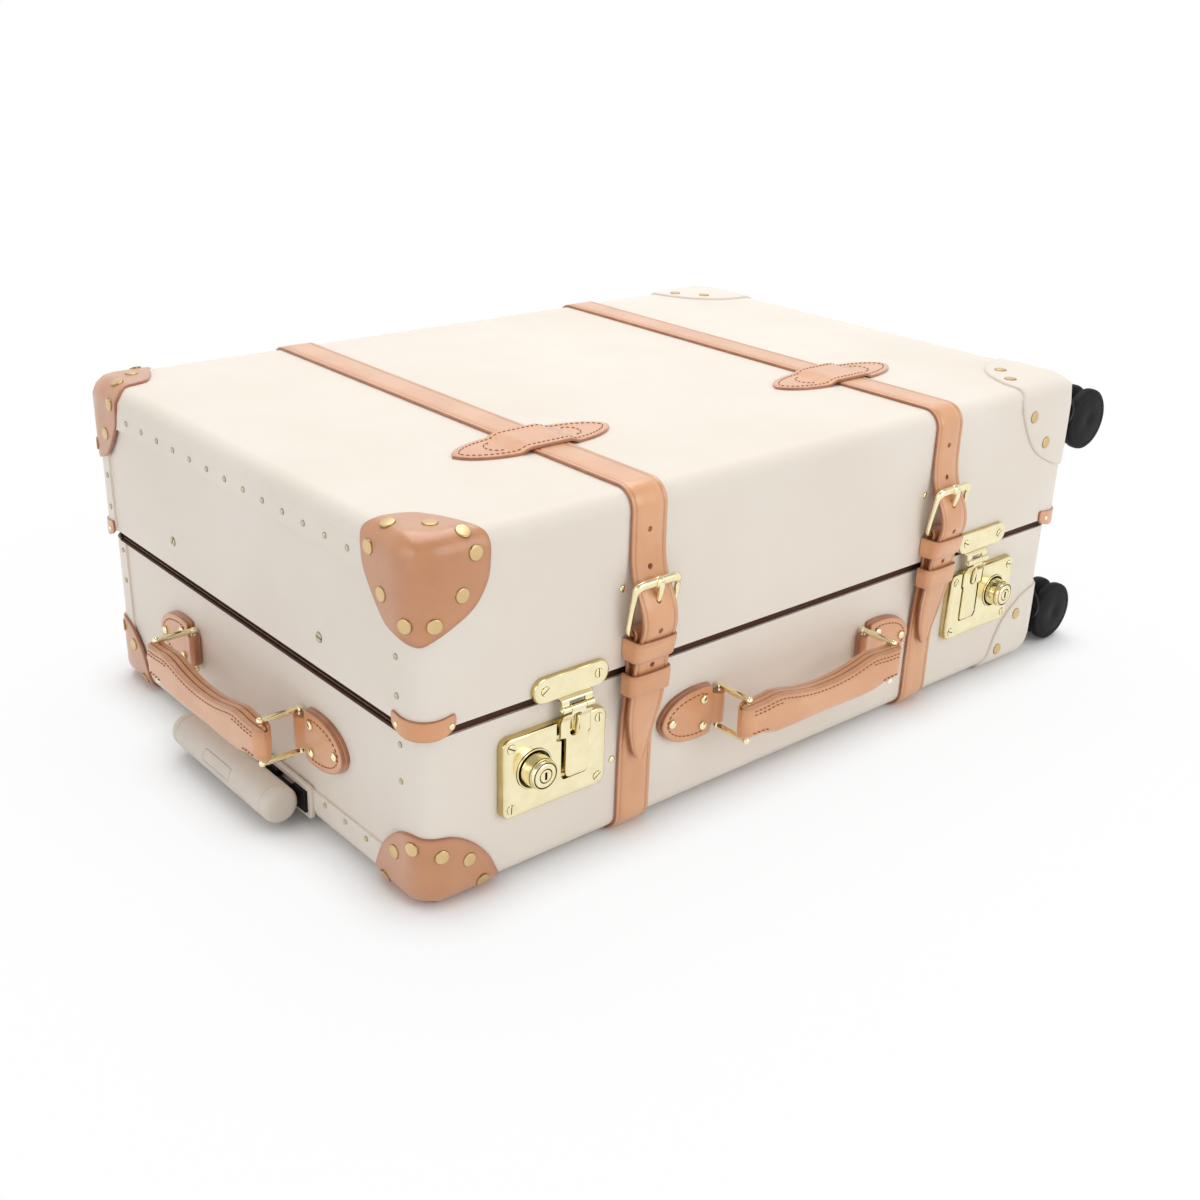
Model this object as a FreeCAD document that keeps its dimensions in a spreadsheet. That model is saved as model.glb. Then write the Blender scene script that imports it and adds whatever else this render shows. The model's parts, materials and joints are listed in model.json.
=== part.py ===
import FreeCAD, Part
import Sketcher
import math
import os
import re
from FreeCAD import Vector

# A hard-sided four-wheel suitcase lying on its base half. X runs along the length, the handle end at -X and
# the wheel end at +X. The front, with the locks and the carry handle, faces -Y. Z points up from the
# underside of the base sheet, and the straps under it touch the floor.

DIMENSIONS = [
    ("lid_length", 620.0, "outside length of the lid"),
    ("lid_width", 422.0, "outside width of the lid"),
    ("lid_bottom", 120.4, "lower edge of the lid wall"),
    ("lid_top", 233.0, "upper face of the lid"),
    ("step_in", 4.2, "how far the base walls stand inside the lid walls"),
    ("base_bottom", 0.0, "underside of the base sheet"),
    ("base_top", 112.2, "upper edge of the base wall"),
    ("sheet", 1.8, "thickness of the fibre sheet"),
    ("corner_round", 18.0, "upright corner radius"),
    ("edge_round", 12.0, "radius of the long and short edges"),
    ("flange", 25.0, "width of the flange folded on to the ends"),
    ("rim_wall", 5.0, "thickness of the rim frame"),
    ("rim_low", 89.6, "lower edge of the rim frame"),
    ("rim_top", 128.6, "upper edge of the rim frame"),
    ("lining", 1.2, "thickness of the lining board"),
    ("board_low", 23.6, "underside of the floor board"),
    ("board_thick", 3.0, "thickness of the floor board"),
    ("leather", 2.4, "thickness of the straps"),
    ("cap_thick", 2.0, "thickness of the corner caps"),
    ("strap_width", 28.4, "width of a strap"),
    ("strap_x", 144.5, "distance of each strap from the middle"),
    ("strap_gap", 0.4, "running gap around the sliding strap"),
    ("strap_radius", 436.8, "inner radius of the front run about the lid hinge"),
    ("arc_rise", 60.0, "height of the start of the curved run over the hinge"),
    ("tail_drop", 62.0, "drop of the strap tip under the hinge"),
    ("hole_pitch", 21.6, "pitch of the strap holes"),
    ("hole_radius", 2.0, "radius of a strap hole"),
    ("hinge_y", 215.8, "lid hinge axis behind the middle"),
    ("hinge_z", 116.3, "lid hinge axis over the underside"),
    ("hinge_pin", 1.5, "radius of a hinge pin"),
    ("knuckle", 3.2, "outer radius of a hinge knuckle"),
    ("hinge_long", 60.0, "length of a hinge"),
    ("hinge_x", 225.0, "distance of the outer hinges from the middle"),
    ("lock_x", 212.5, "middle of a lock plate"),
    ("lock_z", 71.6, "middle height of a lock plate"),
    ("lock_wide", 80.0, "length of a lock plate"),
    ("lock_high", 54.0, "height of a lock plate"),
    ("lock_deep", 5.5, "depth of a lock body"),
    ("catch_low", 90.6, "lower edge of the catch in the hasp slot"),
    ("slot_low", 70.6, "lower end of the hasp slot"),
    ("slot_high", 98.6, "upper end of the hasp slot"),
    ("knob_x", 229.0, "middle of the lock knob"),
    ("knob_z", 73.6, "middle height of the lock knob"),
    ("knob_radius", 11.0, "radius of the lock knob"),
    ("knob_deep", 14.0, "length of the lock knob from its seat"),
    ("hasp_x", 198.0, "middle of the hasp"),
    ("hasp_wide", 24.0, "width of the hasp flap"),
    ("hasp_plate_x", 202.4, "middle of the hasp plate on the lid"),
    ("hasp_plate_wide", 58.0, "width of the hasp plate on the lid"),
    ("hasp_plate_low", 116.0, "lower edge of the hasp plate"),
    ("hasp_plate_high", 16.0, "height of the hasp plate"),
    ("hasp_thick", 1.6, "thickness of the hasp"),
    ("hasp_low", 60.6, "lower end of the hasp flap"),
    ("hasp_axis_z", 107.0, "height of the hasp hinge axis"),
    ("hasp_knuckle", 2.4, "radius of the hasp knuckle"),
    ("handle_z", 66.6, "height of both carry handles"),
    ("handle_pivot", 73.0, "distance of a ring pivot from the middle of its handle"),
    ("handle_tip", 126.0, "distance of a handle plate tip from the middle of its handle"),
    ("plate_high", 36.0, "height of a handle plate at its shoulder"),
    ("tongue_high", 22.6, "height of the folded tongue of a handle plate"),
    ("plate_thick", 6.0, "thickness of a handle plate"),
    ("fold_radius", 4.4, "outer radius of the fold that holds the ring"),
    ("ring_rod", 1.9, "radius of the ring wire"),
    ("ring_reach", 27.4, "distance between the two bars of a ring"),
    ("ring_half", 14.9, "half the length of a ring bar"),
    ("grip_half", 80.0, "half the length of a carry grip"),
    ("grip_end_high", 24.4, "height of a carry grip between the arms of its rings"),
    ("grip_full_high", 29.5, "height of a carry grip inside its rings"),
    ("grip_mid_high", 22.6, "height of a carry grip at its waist"),
    ("grip_thick", 12.6, "thickness of a carry grip"),
    ("ring_slip", 0.1, "radial running gap of a ring bar"),
    ("trolley_y", -8.0, "middle of the trolley handle across the end"),
    ("trolley_z", 15.8, "height of the trolley tubes"),
    ("tube_y", 45.0, "distance of each tube from the middle of the trolley"),
    ("tube_wide", 20.0, "width of the fixed tube"),
    ("tube_high", 14.0, "height of the fixed tube"),
    ("tube_wall", 1.0, "wall of every tube"),
    ("tube_gap", 0.3, "gap between sliding tubes"),
    ("tube_long", 385.0, "length of the fixed tube"),
    ("grip_x", -324.5, "axis of the trolley grip"),
    ("trolley_radius", 12.5, "radius of the trolley grip"),
    ("trolley_half", 67.0, "half the length of the trolley grip"),
    ("button_long", 36.0, "length of the release button"),
    ("button_wide", 8.0, "width of the release button"),
    ("button_gap", 0.3, "gap round the release button"),
    ("bezel_wide", 150.0, "width of the trolley bezel"),
    ("bezel_high", 24.0, "height of the trolley bezel"),
    ("bezel_thick", 2.6, "thickness of the trolley bezel"),
    ("wheel_radius", 24.5, "radius of a wheel"),
    ("wheel_wide", 8.0, "width of one wheel disc"),
    ("wheel_split", 8.0, "gap between the two discs of a caster"),
    ("caster_y", 192.0, "distance of a caster from the middle"),
    ("caster_low_z", 35.6, "pivot height of the lower casters"),
    ("caster_high_z", 203.6, "pivot height of the upper casters"),
    ("caster_trail", 12.0, "drop of the axle under the caster pivot"),
    ("caster_reach", 29.8, "distance of the axle from the cap face"),
    ("axle_radius", 2.5, "radius of a wheel axle"),
    ("tack_radius", 4.7, "radius of a corner tack"),
    ("tack_high", 1.0, "height of a corner tack"),
    ("rivet_radius", 2.0, "radius of a flange rivet"),
    ("rivet_high", 0.7, "height of a flange rivet"),
    ("rivet_pitch", 24.2, "pitch of the flange rivets"),
    ("rivet_in", 20.5, "distance of the rivet rows from the edges"),
]

doc = FreeCAD.newDocument("suitcase")
sheet = doc.addObject("Spreadsheet::Sheet", "Params")
for row, (alias, size, note) in enumerate(DIMENSIONS, start=1):
    sheet.set("A%d" % row, alias)
    sheet.set("B%d" % row, str(size))
    sheet.set("C%d" % row, note)
    sheet.setAlias("B%d" % row, alias)
doc.recompute()

ALIASES = re.compile(r"\b(%s)\b" % "|".join(alias for alias, size, note in DIMENSIONS))
nodes = {}


def linked(expression):
    """Returns an expression with every size read from the sheet."""
    return ALIASES.sub(r"Params.\1", expression)


def size_of(expression):
    """Returns the value of an expression in millimetres."""
    return float(sheet.evalExpression(linked(expression)))


def bind(item, prop, expression):
    item.setExpression(prop, linked(str(expression)))


def place(item, position, turn=None):
    """Puts an item at three bound coordinates, turned by an axis and an angle."""
    if turn is not None:
        item.Placement = FreeCAD.Placement(Vector(), FreeCAD.Rotation(turn[0], turn[1]))
    for letter, expression in zip("xyz", position):
        bind(item, "Placement.Base.%s" % letter, expression)


def node(name, item):
    """Names an item as one piece of the suitcase."""
    item.Label = name
    nodes[name] = item
    return item


def box(name, sizes, position):
    item = doc.addObject("Part::Box", name)
    for prop, expression in zip(("Length", "Width", "Height"), sizes):
        bind(item, prop, expression)
    place(item, position)
    return item


ALONG_X = (Vector(0, 1, 0), 90)
ALONG_Y = (Vector(1, 0, 0), -90)
FACING_FRONT = (Vector(1, 0, 0), 90)
FACING_HANDLE_END = (Vector(0, 1, 0), -90)


def rod(name, radius, length, position, turn=None):
    item = doc.addObject("Part::Cylinder", name)
    bind(item, "Radius", radius)
    bind(item, "Height", length)
    place(item, position, turn)
    return item


def cut(name, body, tool):
    item = doc.addObject("Part::Cut", name)
    item.Base = body
    item.Tool = tool
    return item


def fuse(name, parts):
    item = doc.addObject("Part::MultiFuse", name)
    item.Shapes = parts
    return item


def group(name, parts):
    item = doc.addObject("Part::Compound", name)
    item.Links = parts
    return item


def mirrored(name, source, normal):
    item = doc.addObject("Part::Mirroring", name)
    item.Source = source
    item.Normal = normal
    return item


def feature(name, shapes):
    """Keeps shapes that are worked out from the sheet as one item."""
    item = doc.addObject("Part::Feature", name)
    item.Shape = shapes[0] if len(shapes) == 1 else Part.makeCompound(shapes)
    return item


def origin_plane(body, role):
    return next(item for item in body.Origin.OriginFeatures if item.Role == role)


def outline_lines(sketch, half_x, half_y, round_off):
    """Draws a rounded rectangle round the sketch origin: four lines, then four arcs."""
    in_x = half_x - round_off
    in_y = half_y - round_off
    ends = [((-in_x, -half_y), (in_x, -half_y)), ((half_x, -in_y), (half_x, in_y)),
            ((in_x, half_y), (-in_x, half_y)), ((-half_x, in_y), (-half_x, -in_y))]
    for start, end in ends:
        sketch.addGeometry(Part.LineSegment(Vector(*start, 0), Vector(*end, 0)), False)
    centres = [(in_x, -in_y), (in_x, in_y), (-in_x, in_y), (-in_x, -in_y)]
    for quarter, centre in enumerate(centres):
        circle = Part.Circle(Vector(*centre, 0), Vector(0, 0, 1), round_off)
        start_angle = (quarter - 1) * math.pi / 2
        sketch.addGeometry(Part.ArcOfCircle(circle, start_angle, start_angle + math.pi / 2), False)


def rounded_sketch(body, name, wide, deep, round_off):
    """A fully dimensioned rounded rectangle on the body's own XY plane."""
    sketch = body.newObject("Sketcher::SketchObject", name)
    sketch.AttachmentSupport = [(origin_plane(body, "XY_Plane"), "")]
    sketch.MapMode = "FlatFace"
    outline_lines(sketch, size_of(wide) / 2, size_of(deep) / 2, size_of(round_off))
    rule = Sketcher.Constraint
    for corner in range(4):
        sketch.addConstraint(rule("Tangent", corner, 2, 4 + corner, 1))
        sketch.addConstraint(rule("Tangent", 4 + corner, 2, (corner + 1) % 4, 1))
    for line in (0, 2):
        sketch.addConstraint(rule("Horizontal", line))
    for line in (1, 3):
        sketch.addConstraint(rule("Vertical", line))
    sketch.addConstraint(rule("Equal", 4, 5))
    sketch.addConstraint(rule("Equal", 5, 6))
    sketch.addConstraint(rule("Symmetric", 4, 3, 6, 3, -1, 1))
    dimensions = [("wide", rule("DistanceX", 3, 1, 1, 1, size_of(wide)), wide),
                  ("deep", rule("DistanceY", 0, 1, 2, 1, size_of(deep)), deep),
                  ("round_off", rule("Radius", 4, size_of(round_off)), round_off)]
    for label, constraint, expression in dimensions:
        index = sketch.addConstraint(constraint)
        sketch.renameConstraint(index, label)
        bind(sketch, "Constraints.%s" % label, expression)
    return sketch


def rounded_block(name, wide, deep, high, round_off, position, edge=None, edge_at_top=True, turn=None):
    """A padded rounded rectangle, with the rim of one face rounded by edge."""
    body = doc.addObject("PartDesign::Body", name)
    sketch = rounded_sketch(body, name + "_outline", wide, deep, round_off)
    pad = body.newObject("PartDesign::Pad", name + "_pad")
    pad.Profile = sketch
    bind(pad, "Length", high)
    body.Tip = pad
    doc.recompute()
    sketch.Visibility = False
    if edge is not None:
        level = size_of(high) if edge_at_top else 0.0
        rim = ["Edge%d" % number for number, line in enumerate(pad.Shape.Edges, start=1)
               if abs(line.BoundBox.ZMin - level) < 1e-6 and abs(line.BoundBox.ZMax - level) < 1e-6]
        softened = body.newObject("PartDesign::Fillet", name + "_rim")
        softened.Base = (pad, rim)
        bind(softened, "Radius", edge)
        body.Tip = softened
    place(body, position, turn)
    return body


def rounded_solid(half_x, half_y, low, high, corner, edge, edge_at_top):
    """The same rounded block as a plain shape, for pieces that wrap over a corner."""
    solid = Part.makeBox(2 * half_x, 2 * half_y, high - low, Vector(-half_x, -half_y, low))
    upright = [line for line in solid.Edges if abs(line.BoundBox.ZLength - (high - low)) < 1e-6]
    solid = solid.makeFillet(corner, upright)
    level = high if edge_at_top else low
    rim = [line for line in solid.Edges
           if abs(line.BoundBox.ZMin - level) < 1e-6 and abs(line.BoundBox.ZMax - level) < 1e-6]
    return solid.makeFillet(edge, rim)


def prism(points, direction):
    """Extrudes a closed polygon."""
    return Part.Face(Part.makePolygon(points + points[:1])).extrude(direction)


def mirror_of(shape, normal):
    return shape.mirror(Vector(), normal)


ACROSS_X = Vector(1, 0, 0)
ACROSS_Y = Vector(0, 1, 0)

# Fibre sheets. One sheet wraps the front, underside and back of the base, another the front, top and back of
# the lid. Each is folded on to both ends as a flange, and an end panel lies behind the flanges.

BASE_LENGTH = "lid_length - 2 * step_in"
BASE_WIDTH = "lid_width - 2 * step_in"
BASE_CORNER = "corner_round - 2"
CLEAR_UP = 40

base_outer = rounded_block("base_outer", BASE_LENGTH, BASE_WIDTH, "base_top - base_bottom", BASE_CORNER,
                           ("0", "0", "base_bottom"), "edge_round", False)
base_inner = rounded_block("base_inner", BASE_LENGTH + " - 2 * sheet", BASE_WIDTH + " - 2 * sheet",
                           "base_top - base_bottom + %d" % CLEAR_UP, BASE_CORNER + " - sheet",
                           ("0", "0", "base_bottom + sheet"), "edge_round - sheet", False)
lid_outer = rounded_block("lid_outer", "lid_length", "lid_width", "lid_top - lid_bottom", "corner_round",
                          ("0", "0", "lid_bottom"), "edge_round", True)
lid_inner = rounded_block("lid_inner", "lid_length - 2 * sheet", "lid_width - 2 * sheet",
                          "lid_top - lid_bottom - sheet + %d" % CLEAR_UP, "corner_round - sheet",
                          ("0", "0", "lid_bottom - %d" % CLEAR_UP), "edge_round - sheet", True)


def end_windows(name, length, width, low, high):
    """The two openings between the flanges, through the end walls only."""
    sizes = ("sheet + 1", width + " - 2 * flange", high + " - (" + low + ")")
    at_handle = box(name + "_handle_end", sizes,
                    ("-(%s) / 2 - 1" % length, "-(%s) / 2 + flange" % width, low))
    at_wheels = box(name + "_wheel_end", sizes,
                    ("(%s) / 2 - sheet" % length, "-(%s) / 2 + flange" % width, low))
    return [at_handle, at_wheels]


tube_holes = []
for number, side in enumerate((-1, 1)):
    tube_holes.append(box("tube_hole_%d" % number,
                          ("20", "tube_wide + 0.2", "tube_high + 0.2"),
                          ("-(%s) / 2 - 10" % BASE_LENGTH,
                           "trolley_y + %d * tube_y - tube_wide / 2 - 0.1" % side,
                           "trolley_z - tube_high / 2 - 0.1")))
base_windows = end_windows("base_window", BASE_LENGTH, BASE_WIDTH, "base_bottom + flange", "base_top + 5")
lid_windows = end_windows("lid_window", "lid_length", "lid_width", "lid_bottom - 5", "lid_top - flange")
base_hollow = cut("base_hollow", base_outer, base_inner)
base_openings = fuse("base_openings", base_windows + tube_holes)
node("base_shell", cut("base_shell", base_hollow, base_openings))
lid_hollow = cut("lid_hollow", lid_outer, lid_inner)
lid_openings = fuse("lid_openings", lid_windows)
node("lid_shell", cut("lid_shell", lid_hollow, lid_openings))


def end_panel(name, length, width, corner, low, high, side):
    """A flat panel that lies against the inner face of the flanges."""
    start = "-(%s) / 2 + sheet" if side < 0 else "(%s) / 2 - 2 * sheet"
    return box(name, ("sheet", width + " - 2 * (%s)" % corner, high + " - (" + low + ")"),
               (start % length, "-(%s) / 2 + %s" % (width, corner), low))


base_panel_low = "base_bottom + edge_round"
handle_panel = end_panel("handle_end_panel", BASE_LENGTH, BASE_WIDTH, BASE_CORNER, base_panel_low,
                         "base_top", -1)
panel_tools = fuse("panel_tube_holes", tube_holes)
handle_panel_holed = cut("handle_end_panel_holed", handle_panel, panel_tools)
wheel_panel = end_panel("wheel_end_panel", BASE_LENGTH, BASE_WIDTH, BASE_CORNER, base_panel_low,
                        "base_top", 1)
node("base_end_panels", group("base_end_panels", [handle_panel_holed, wheel_panel]))
lid_panels = [end_panel("lid_end_panel_%d" % number, "lid_length", "lid_width", "corner_round",
                        "lid_bottom", "lid_top - edge_round", side) for number, side in enumerate((-1, 1))]
node("lid_end_panels", group("lid_end_panels", lid_panels))

# Rim frame, floor board and lining boards.

RIM_LENGTH = BASE_LENGTH + " - 4 * sheet - 0.2"
RIM_WIDTH = BASE_WIDTH + " - 2 * sheet - 0.2"
rim_outer = rounded_block("rim_outer", RIM_LENGTH, RIM_WIDTH, "rim_top - rim_low", "corner_round - 3.5",
                          ("0", "0", "rim_low"))
rim_inner = rounded_block("rim_inner", RIM_LENGTH + " - 2 * rim_wall", RIM_WIDTH + " - 2 * rim_wall",
                          "rim_top - rim_low + 20", "corner_round - 8.5", ("0", "0", "rim_low - 10"))
node("base_rim", cut("base_rim", rim_outer, rim_inner))
node("floor_board", rounded_block("floor_board", RIM_LENGTH + " - 2 * lining - 0.4",
                                  RIM_WIDTH + " - 2 * lining - 0.4", "board_thick", "corner_round - 5",
                                  ("0", "0", "board_low")))
base_lining_outer = rounded_block("base_lining_outer", RIM_LENGTH, RIM_WIDTH, "rim_low - board_low",
                                  "corner_round - 3.5", ("0", "0", "board_low"))
base_lining_inner = rounded_block("base_lining_inner", RIM_LENGTH + " - 2 * lining",
                                  RIM_WIDTH + " - 2 * lining", "rim_low - board_low + 20",
                                  "corner_round - 4.7", ("0", "0", "board_low - 10"))
node("base_lining", cut("base_lining", base_lining_outer, base_lining_inner))
LID_LINING_LENGTH = "lid_length - 4 * sheet - 0.2"
LID_LINING_WIDTH = "lid_width - 2 * sheet - 0.2"
lid_lining_outer = rounded_block("lid_lining_outer", LID_LINING_LENGTH, LID_LINING_WIDTH,
                                 "lid_top - sheet - 0.1 - lid_bottom", "corner_round - 2",
                                 ("0", "0", "lid_bottom"), "edge_round - 1", True)
lid_lining_inner = rounded_block("lid_lining_inner", LID_LINING_LENGTH + " - 2 * lining",
                                 LID_LINING_WIDTH + " - 2 * lining",
                                 "lid_top - sheet - 0.1 - lining - lid_bottom + 20", "corner_round - 3.2",
                                 ("0", "0", "lid_bottom - 20"), "edge_round - 2.2", True)
node("lid_lining", cut("lid_lining", lid_lining_outer, lid_lining_inner))

# Sizes that the worked-out shapes share.

LX = size_of("lid_length / 2")
LY = size_of("lid_width / 2")
BX = size_of("lid_length / 2 - step_in")
BY = size_of("lid_width / 2 - step_in")
LID_TOP = size_of("lid_top")
LID_BOTTOM = size_of("lid_bottom")
BASE_BOTTOM = size_of("base_bottom")
SHEET = size_of("sheet")
LEATHER = size_of("leather")
CAP = size_of("cap_thick")
CORNER = size_of("corner_round")
EDGE = size_of("edge_round")
HINGE_Y = size_of("hinge_y")
HINGE_Z = size_of("hinge_z")

# Corner caps: tan leather at the handle end, ivory fibre at the wheel end. Each wraps three faces, and its
# outline on each face is part of an ellipse round the corner.

LEATHER_LID_REACH = Vector(50, 54, 59)
LEATHER_BASE_REACH = Vector(55, 52, 55)
IVORY_LID_REACH = Vector(75, 74, 70)
IVORY_BASE_REACH = Vector(70, 66, 62)

lid_solid = rounded_solid(LX, LY, LID_BOTTOM, LID_TOP, CORNER, EDGE, True)
lid_offset = rounded_solid(LX + CAP, LY + CAP, LID_BOTTOM, LID_TOP + CAP, CORNER + CAP, EDGE + CAP, True)
base_solid = rounded_solid(BX, BY, BASE_BOTTOM, size_of("base_top"), size_of(BASE_CORNER), EDGE, False)
base_offset = rounded_solid(BX + CAP, BY + CAP, BASE_BOTTOM - CAP, size_of("base_top"),
                            size_of(BASE_CORNER) + CAP, EDGE + CAP, False)


def ellipsoid(centre, reach):
    matrix = FreeCAD.Matrix()
    unit = 50.0
    matrix.scale(reach.x / unit, reach.y / unit, reach.z / unit)
    shape = Part.makeSphere(unit).transformGeometry(matrix)
    shape.translate(centre)
    return shape


def corner_caps(skin, centre, reach):
    """The front cap and its mirror image at the back."""
    front = skin.common(ellipsoid(centre, reach))
    return [front, mirror_of(front, ACROSS_Y)]


lid_skin = lid_offset.cut(lid_solid)
base_skin = base_offset.cut(base_solid)
LID_CORNER_HANDLE = Vector(-LX, -LY, LID_TOP)
LID_CORNER_WHEEL = Vector(LX, -LY, LID_TOP)
BASE_CORNER_HANDLE = Vector(-BX, -BY, BASE_BOTTOM)
BASE_CORNER_WHEEL = Vector(BX, -BY, BASE_BOTTOM)
node("lid_leather_caps", feature("lid_leather_caps",
                                 corner_caps(lid_skin, LID_CORNER_HANDLE, LEATHER_LID_REACH)))
node("lid_ivory_caps", feature("lid_ivory_caps", corner_caps(lid_skin, LID_CORNER_WHEEL, IVORY_LID_REACH)))
node("base_leather_caps", feature("base_leather_caps",
                                  corner_caps(base_skin, BASE_CORNER_HANDLE, LEATHER_BASE_REACH)))
node("base_ivory_caps", feature("base_ivory_caps",
                                corner_caps(base_skin, BASE_CORNER_WHEEL, IVORY_BASE_REACH)))

# Seam tabs: leather wrapped round the lower corners of the lid.

TAB_LOW = LID_BOTTOM - 6.5
TAB_HIGH = LID_BOTTOM + 8.5
TAB_ON_END = 22.0
TAB_ON_FRONT = 27.0
TAB_THICK = 1.6


def seam_tabs():
    outer = rounded_solid(LX + TAB_THICK, LY + TAB_THICK, TAB_LOW - 30, TAB_HIGH, CORNER + TAB_THICK, 1.0,
                          True)
    inner = rounded_solid(LX, LY, TAB_LOW - 40, TAB_HIGH + 20, CORNER, 1.0, True)
    corner = Part.makeBox(TAB_ON_FRONT + TAB_THICK, TAB_ON_END + TAB_THICK, TAB_HIGH - TAB_LOW,
                          Vector(-LX - TAB_THICK, -LY - TAB_THICK, TAB_LOW))
    first = outer.cut(inner).common(corner)
    pair = [first, mirror_of(first, ACROSS_Y)]
    return pair + [mirror_of(tab, ACROSS_X) for tab in pair]


node("seam_tabs", feature("seam_tabs", seam_tabs()))

# Tacks and rivets: flat round heads that lie on the faces they hold.


def head(position, direction, radius, high):
    slope = radius * 0.22
    return Part.makeCone(radius, radius - slope, high, position, direction)


# A spot is a point of the bare shell, measured inwards from the corner along the length, the width and the
# height, with the way that the shell faces there: towards the end, the front and the flat face.
LEATHER_LID_SPOTS = [((8.2, 36.8, 0.6), (0.32, 0, 0.95)), ((24.9, 21.6, 0), (0, 0, 1)),
                     ((35.0, 6.0, 1.6), (0, 0.5, 0.87)), ((38.3, 0.0, 11.0), (0, 1, 0.08)),
                     ((29.2, 0, 33.6), (0, 1, 0)), ((12.2, 0.9, 47.9), (0.32, 0.95, 0)),
                     ((0, 41.9, 12.0), (1, 0, 0)), ((0, 30.2, 36.0), (1, 0, 0)),
                     ((1.4, 10.8, 48.4), (0.92, 0.4, 0))]
LEATHER_BASE_SPOTS = [((12.8, 0.3, 34.9), (0.2, 0.98, 0)), ((31.6, 0, 25.8), (0, 1, 0)),
                      ((41.8, 0.7, 7.9), (0, 0.94, 0.34)), ((0.9, 10.5, 39.7), (0.94, 0.34, 0)),
                      ((0, 26.9, 29.9), (1, 0, 0)), ((1.2, 39.7, 6.7), (0.9, 0, 0.44))]
IVORY_LID_SPOTS = [((43.1, 45.1, 0), (0, 0, 1)), ((60.2, 23.9, 0), (0, 0, 1)),
                   ((60.4, 0, 22.0), (0, 1, 0)), ((39.8, 0, 45.4), (0, 1, 0)),
                   ((0, 56.5, 17.3), (1, 0, 0)), ((0, 44.0, 37.5), (1, 0, 0))]
IVORY_BASE_SPOTS = [((52.8, 0, 14.4), (0, 1, 0)), ((32.9, 0, 40.8), (0, 1, 0)),
                    ((0, 50.2, 15.3), (1, 0, 0)), ((0, 39.2, 33.2), (1, 0, 0))]


def cap_tacks(corner, side_x, upright, spots):
    """Heads on the outside of one cap, with mirror images at the back."""
    heads = []
    for inward, facing in spots:
        outward = Vector(side_x * facing[0], -facing[1], upright * facing[2])
        outward.normalize()
        bare = corner + Vector(-side_x * inward[0], inward[1], -upright * inward[2])
        heads.append(head(bare + outward * CAP, outward, size_of("tack_radius"), size_of("tack_high")))
    return heads + [mirror_of(item, ACROSS_Y) for item in heads]


lid_tacks = cap_tacks(LID_CORNER_HANDLE, -1, 1, LEATHER_LID_SPOTS)
lid_tacks += cap_tacks(LID_CORNER_WHEEL, 1, 1, IVORY_LID_SPOTS)
base_tacks = cap_tacks(BASE_CORNER_HANDLE, -1, -1, LEATHER_BASE_SPOTS)
base_tacks += cap_tacks(BASE_CORNER_WHEEL, 1, -1, IVORY_BASE_SPOTS)
TAB_RIVET_STEP = 9.0
RIVET_RADIUS = size_of("rivet_radius")
RIVET_HIGH = size_of("rivet_high")
tab_rivets = []
for side_x in (-1, 1):
    for side_y in (-1, 1):
        height = (TAB_LOW + TAB_HIGH) / 2
        along_front = Vector(side_x * (LX - CORNER - TAB_RIVET_STEP * 0.4), side_y * (LY + TAB_THICK), height)
        along_end = Vector(side_x * (LX + TAB_THICK), side_y * (LY - CORNER - 1.6), height)
        tab_rivets.append(head(along_front, Vector(0, side_y, 0), RIVET_RADIUS, RIVET_HIGH))
        tab_rivets.append(head(along_end, Vector(side_x, 0, 0), RIVET_RADIUS, RIVET_HIGH))


def flange_rivets(half_x, half_y, edge_z, upright, leather_reach, ivory_reach, low, high, keep_clear):
    """Rows along both end flanges, left out where a corner cap or keep_clear covers them."""
    pitch = size_of("rivet_pitch")
    inward = size_of("rivet_in")
    heads = []
    for side_x, reach in ((-1, leather_reach), (1, ivory_reach)):
        row_z = edge_z - upright * inward
        count = int((half_y - inward) / pitch)
        for step in range(-count, count + 1):
            place_y = step * pitch
            covered = half_y - abs(place_y) < reach.y
            if not covered and not keep_clear(side_x, place_y, row_z):
                spot = Vector(side_x * half_x, place_y, row_z)
                heads.append(head(spot, Vector(side_x, 0, 0), RIVET_RADIUS, RIVET_HIGH))
        steps = int((high - low) / pitch)
        for step in range(steps + 1):
            row_height = low + step * pitch if upright > 0 else high - step * pitch
            if abs(edge_z - row_height) < reach.z + RIVET_RADIUS:
                continue
            for side_y in (-1, 1):
                spot = Vector(side_x * half_x, side_y * (half_y - inward), row_height)
                heads.append(head(spot, Vector(side_x, 0, 0), RIVET_RADIUS, RIVET_HIGH))
    return heads


def under_bezel(side_x, place_y, row_z):
    reach_y = size_of("bezel_wide / 2") + size_of("rivet_radius") + 2
    return side_x < 0 and abs(place_y - size_of("trolley_y")) < reach_y


def never(side_x, place_y, row_z):
    return False


TAB_CLEAR = 18.0
node("lid_rivets", feature("lid_rivets", flange_rivets(LX, LY, LID_TOP, 1, LEATHER_LID_REACH, IVORY_LID_REACH,
                                                       LID_BOTTOM + TAB_CLEAR, LID_TOP, never)))
node("base_rivets", feature("base_rivets", flange_rivets(BX, BY, BASE_BOTTOM, -1, LEATHER_BASE_REACH,
                                                         IVORY_BASE_REACH, BASE_BOTTOM,
                                                         size_of("base_top") - 8, under_bezel)))

# Back hinges: three pairs of leaves on pins.

LEAF_THICK = 1.6
LEAF_HIGH = 22.0
LEAF_GAP = 5.3
PIN_SLIP = 0.05
KNUCKLE_GAP = 0.3
WEB = 2.2


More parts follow.
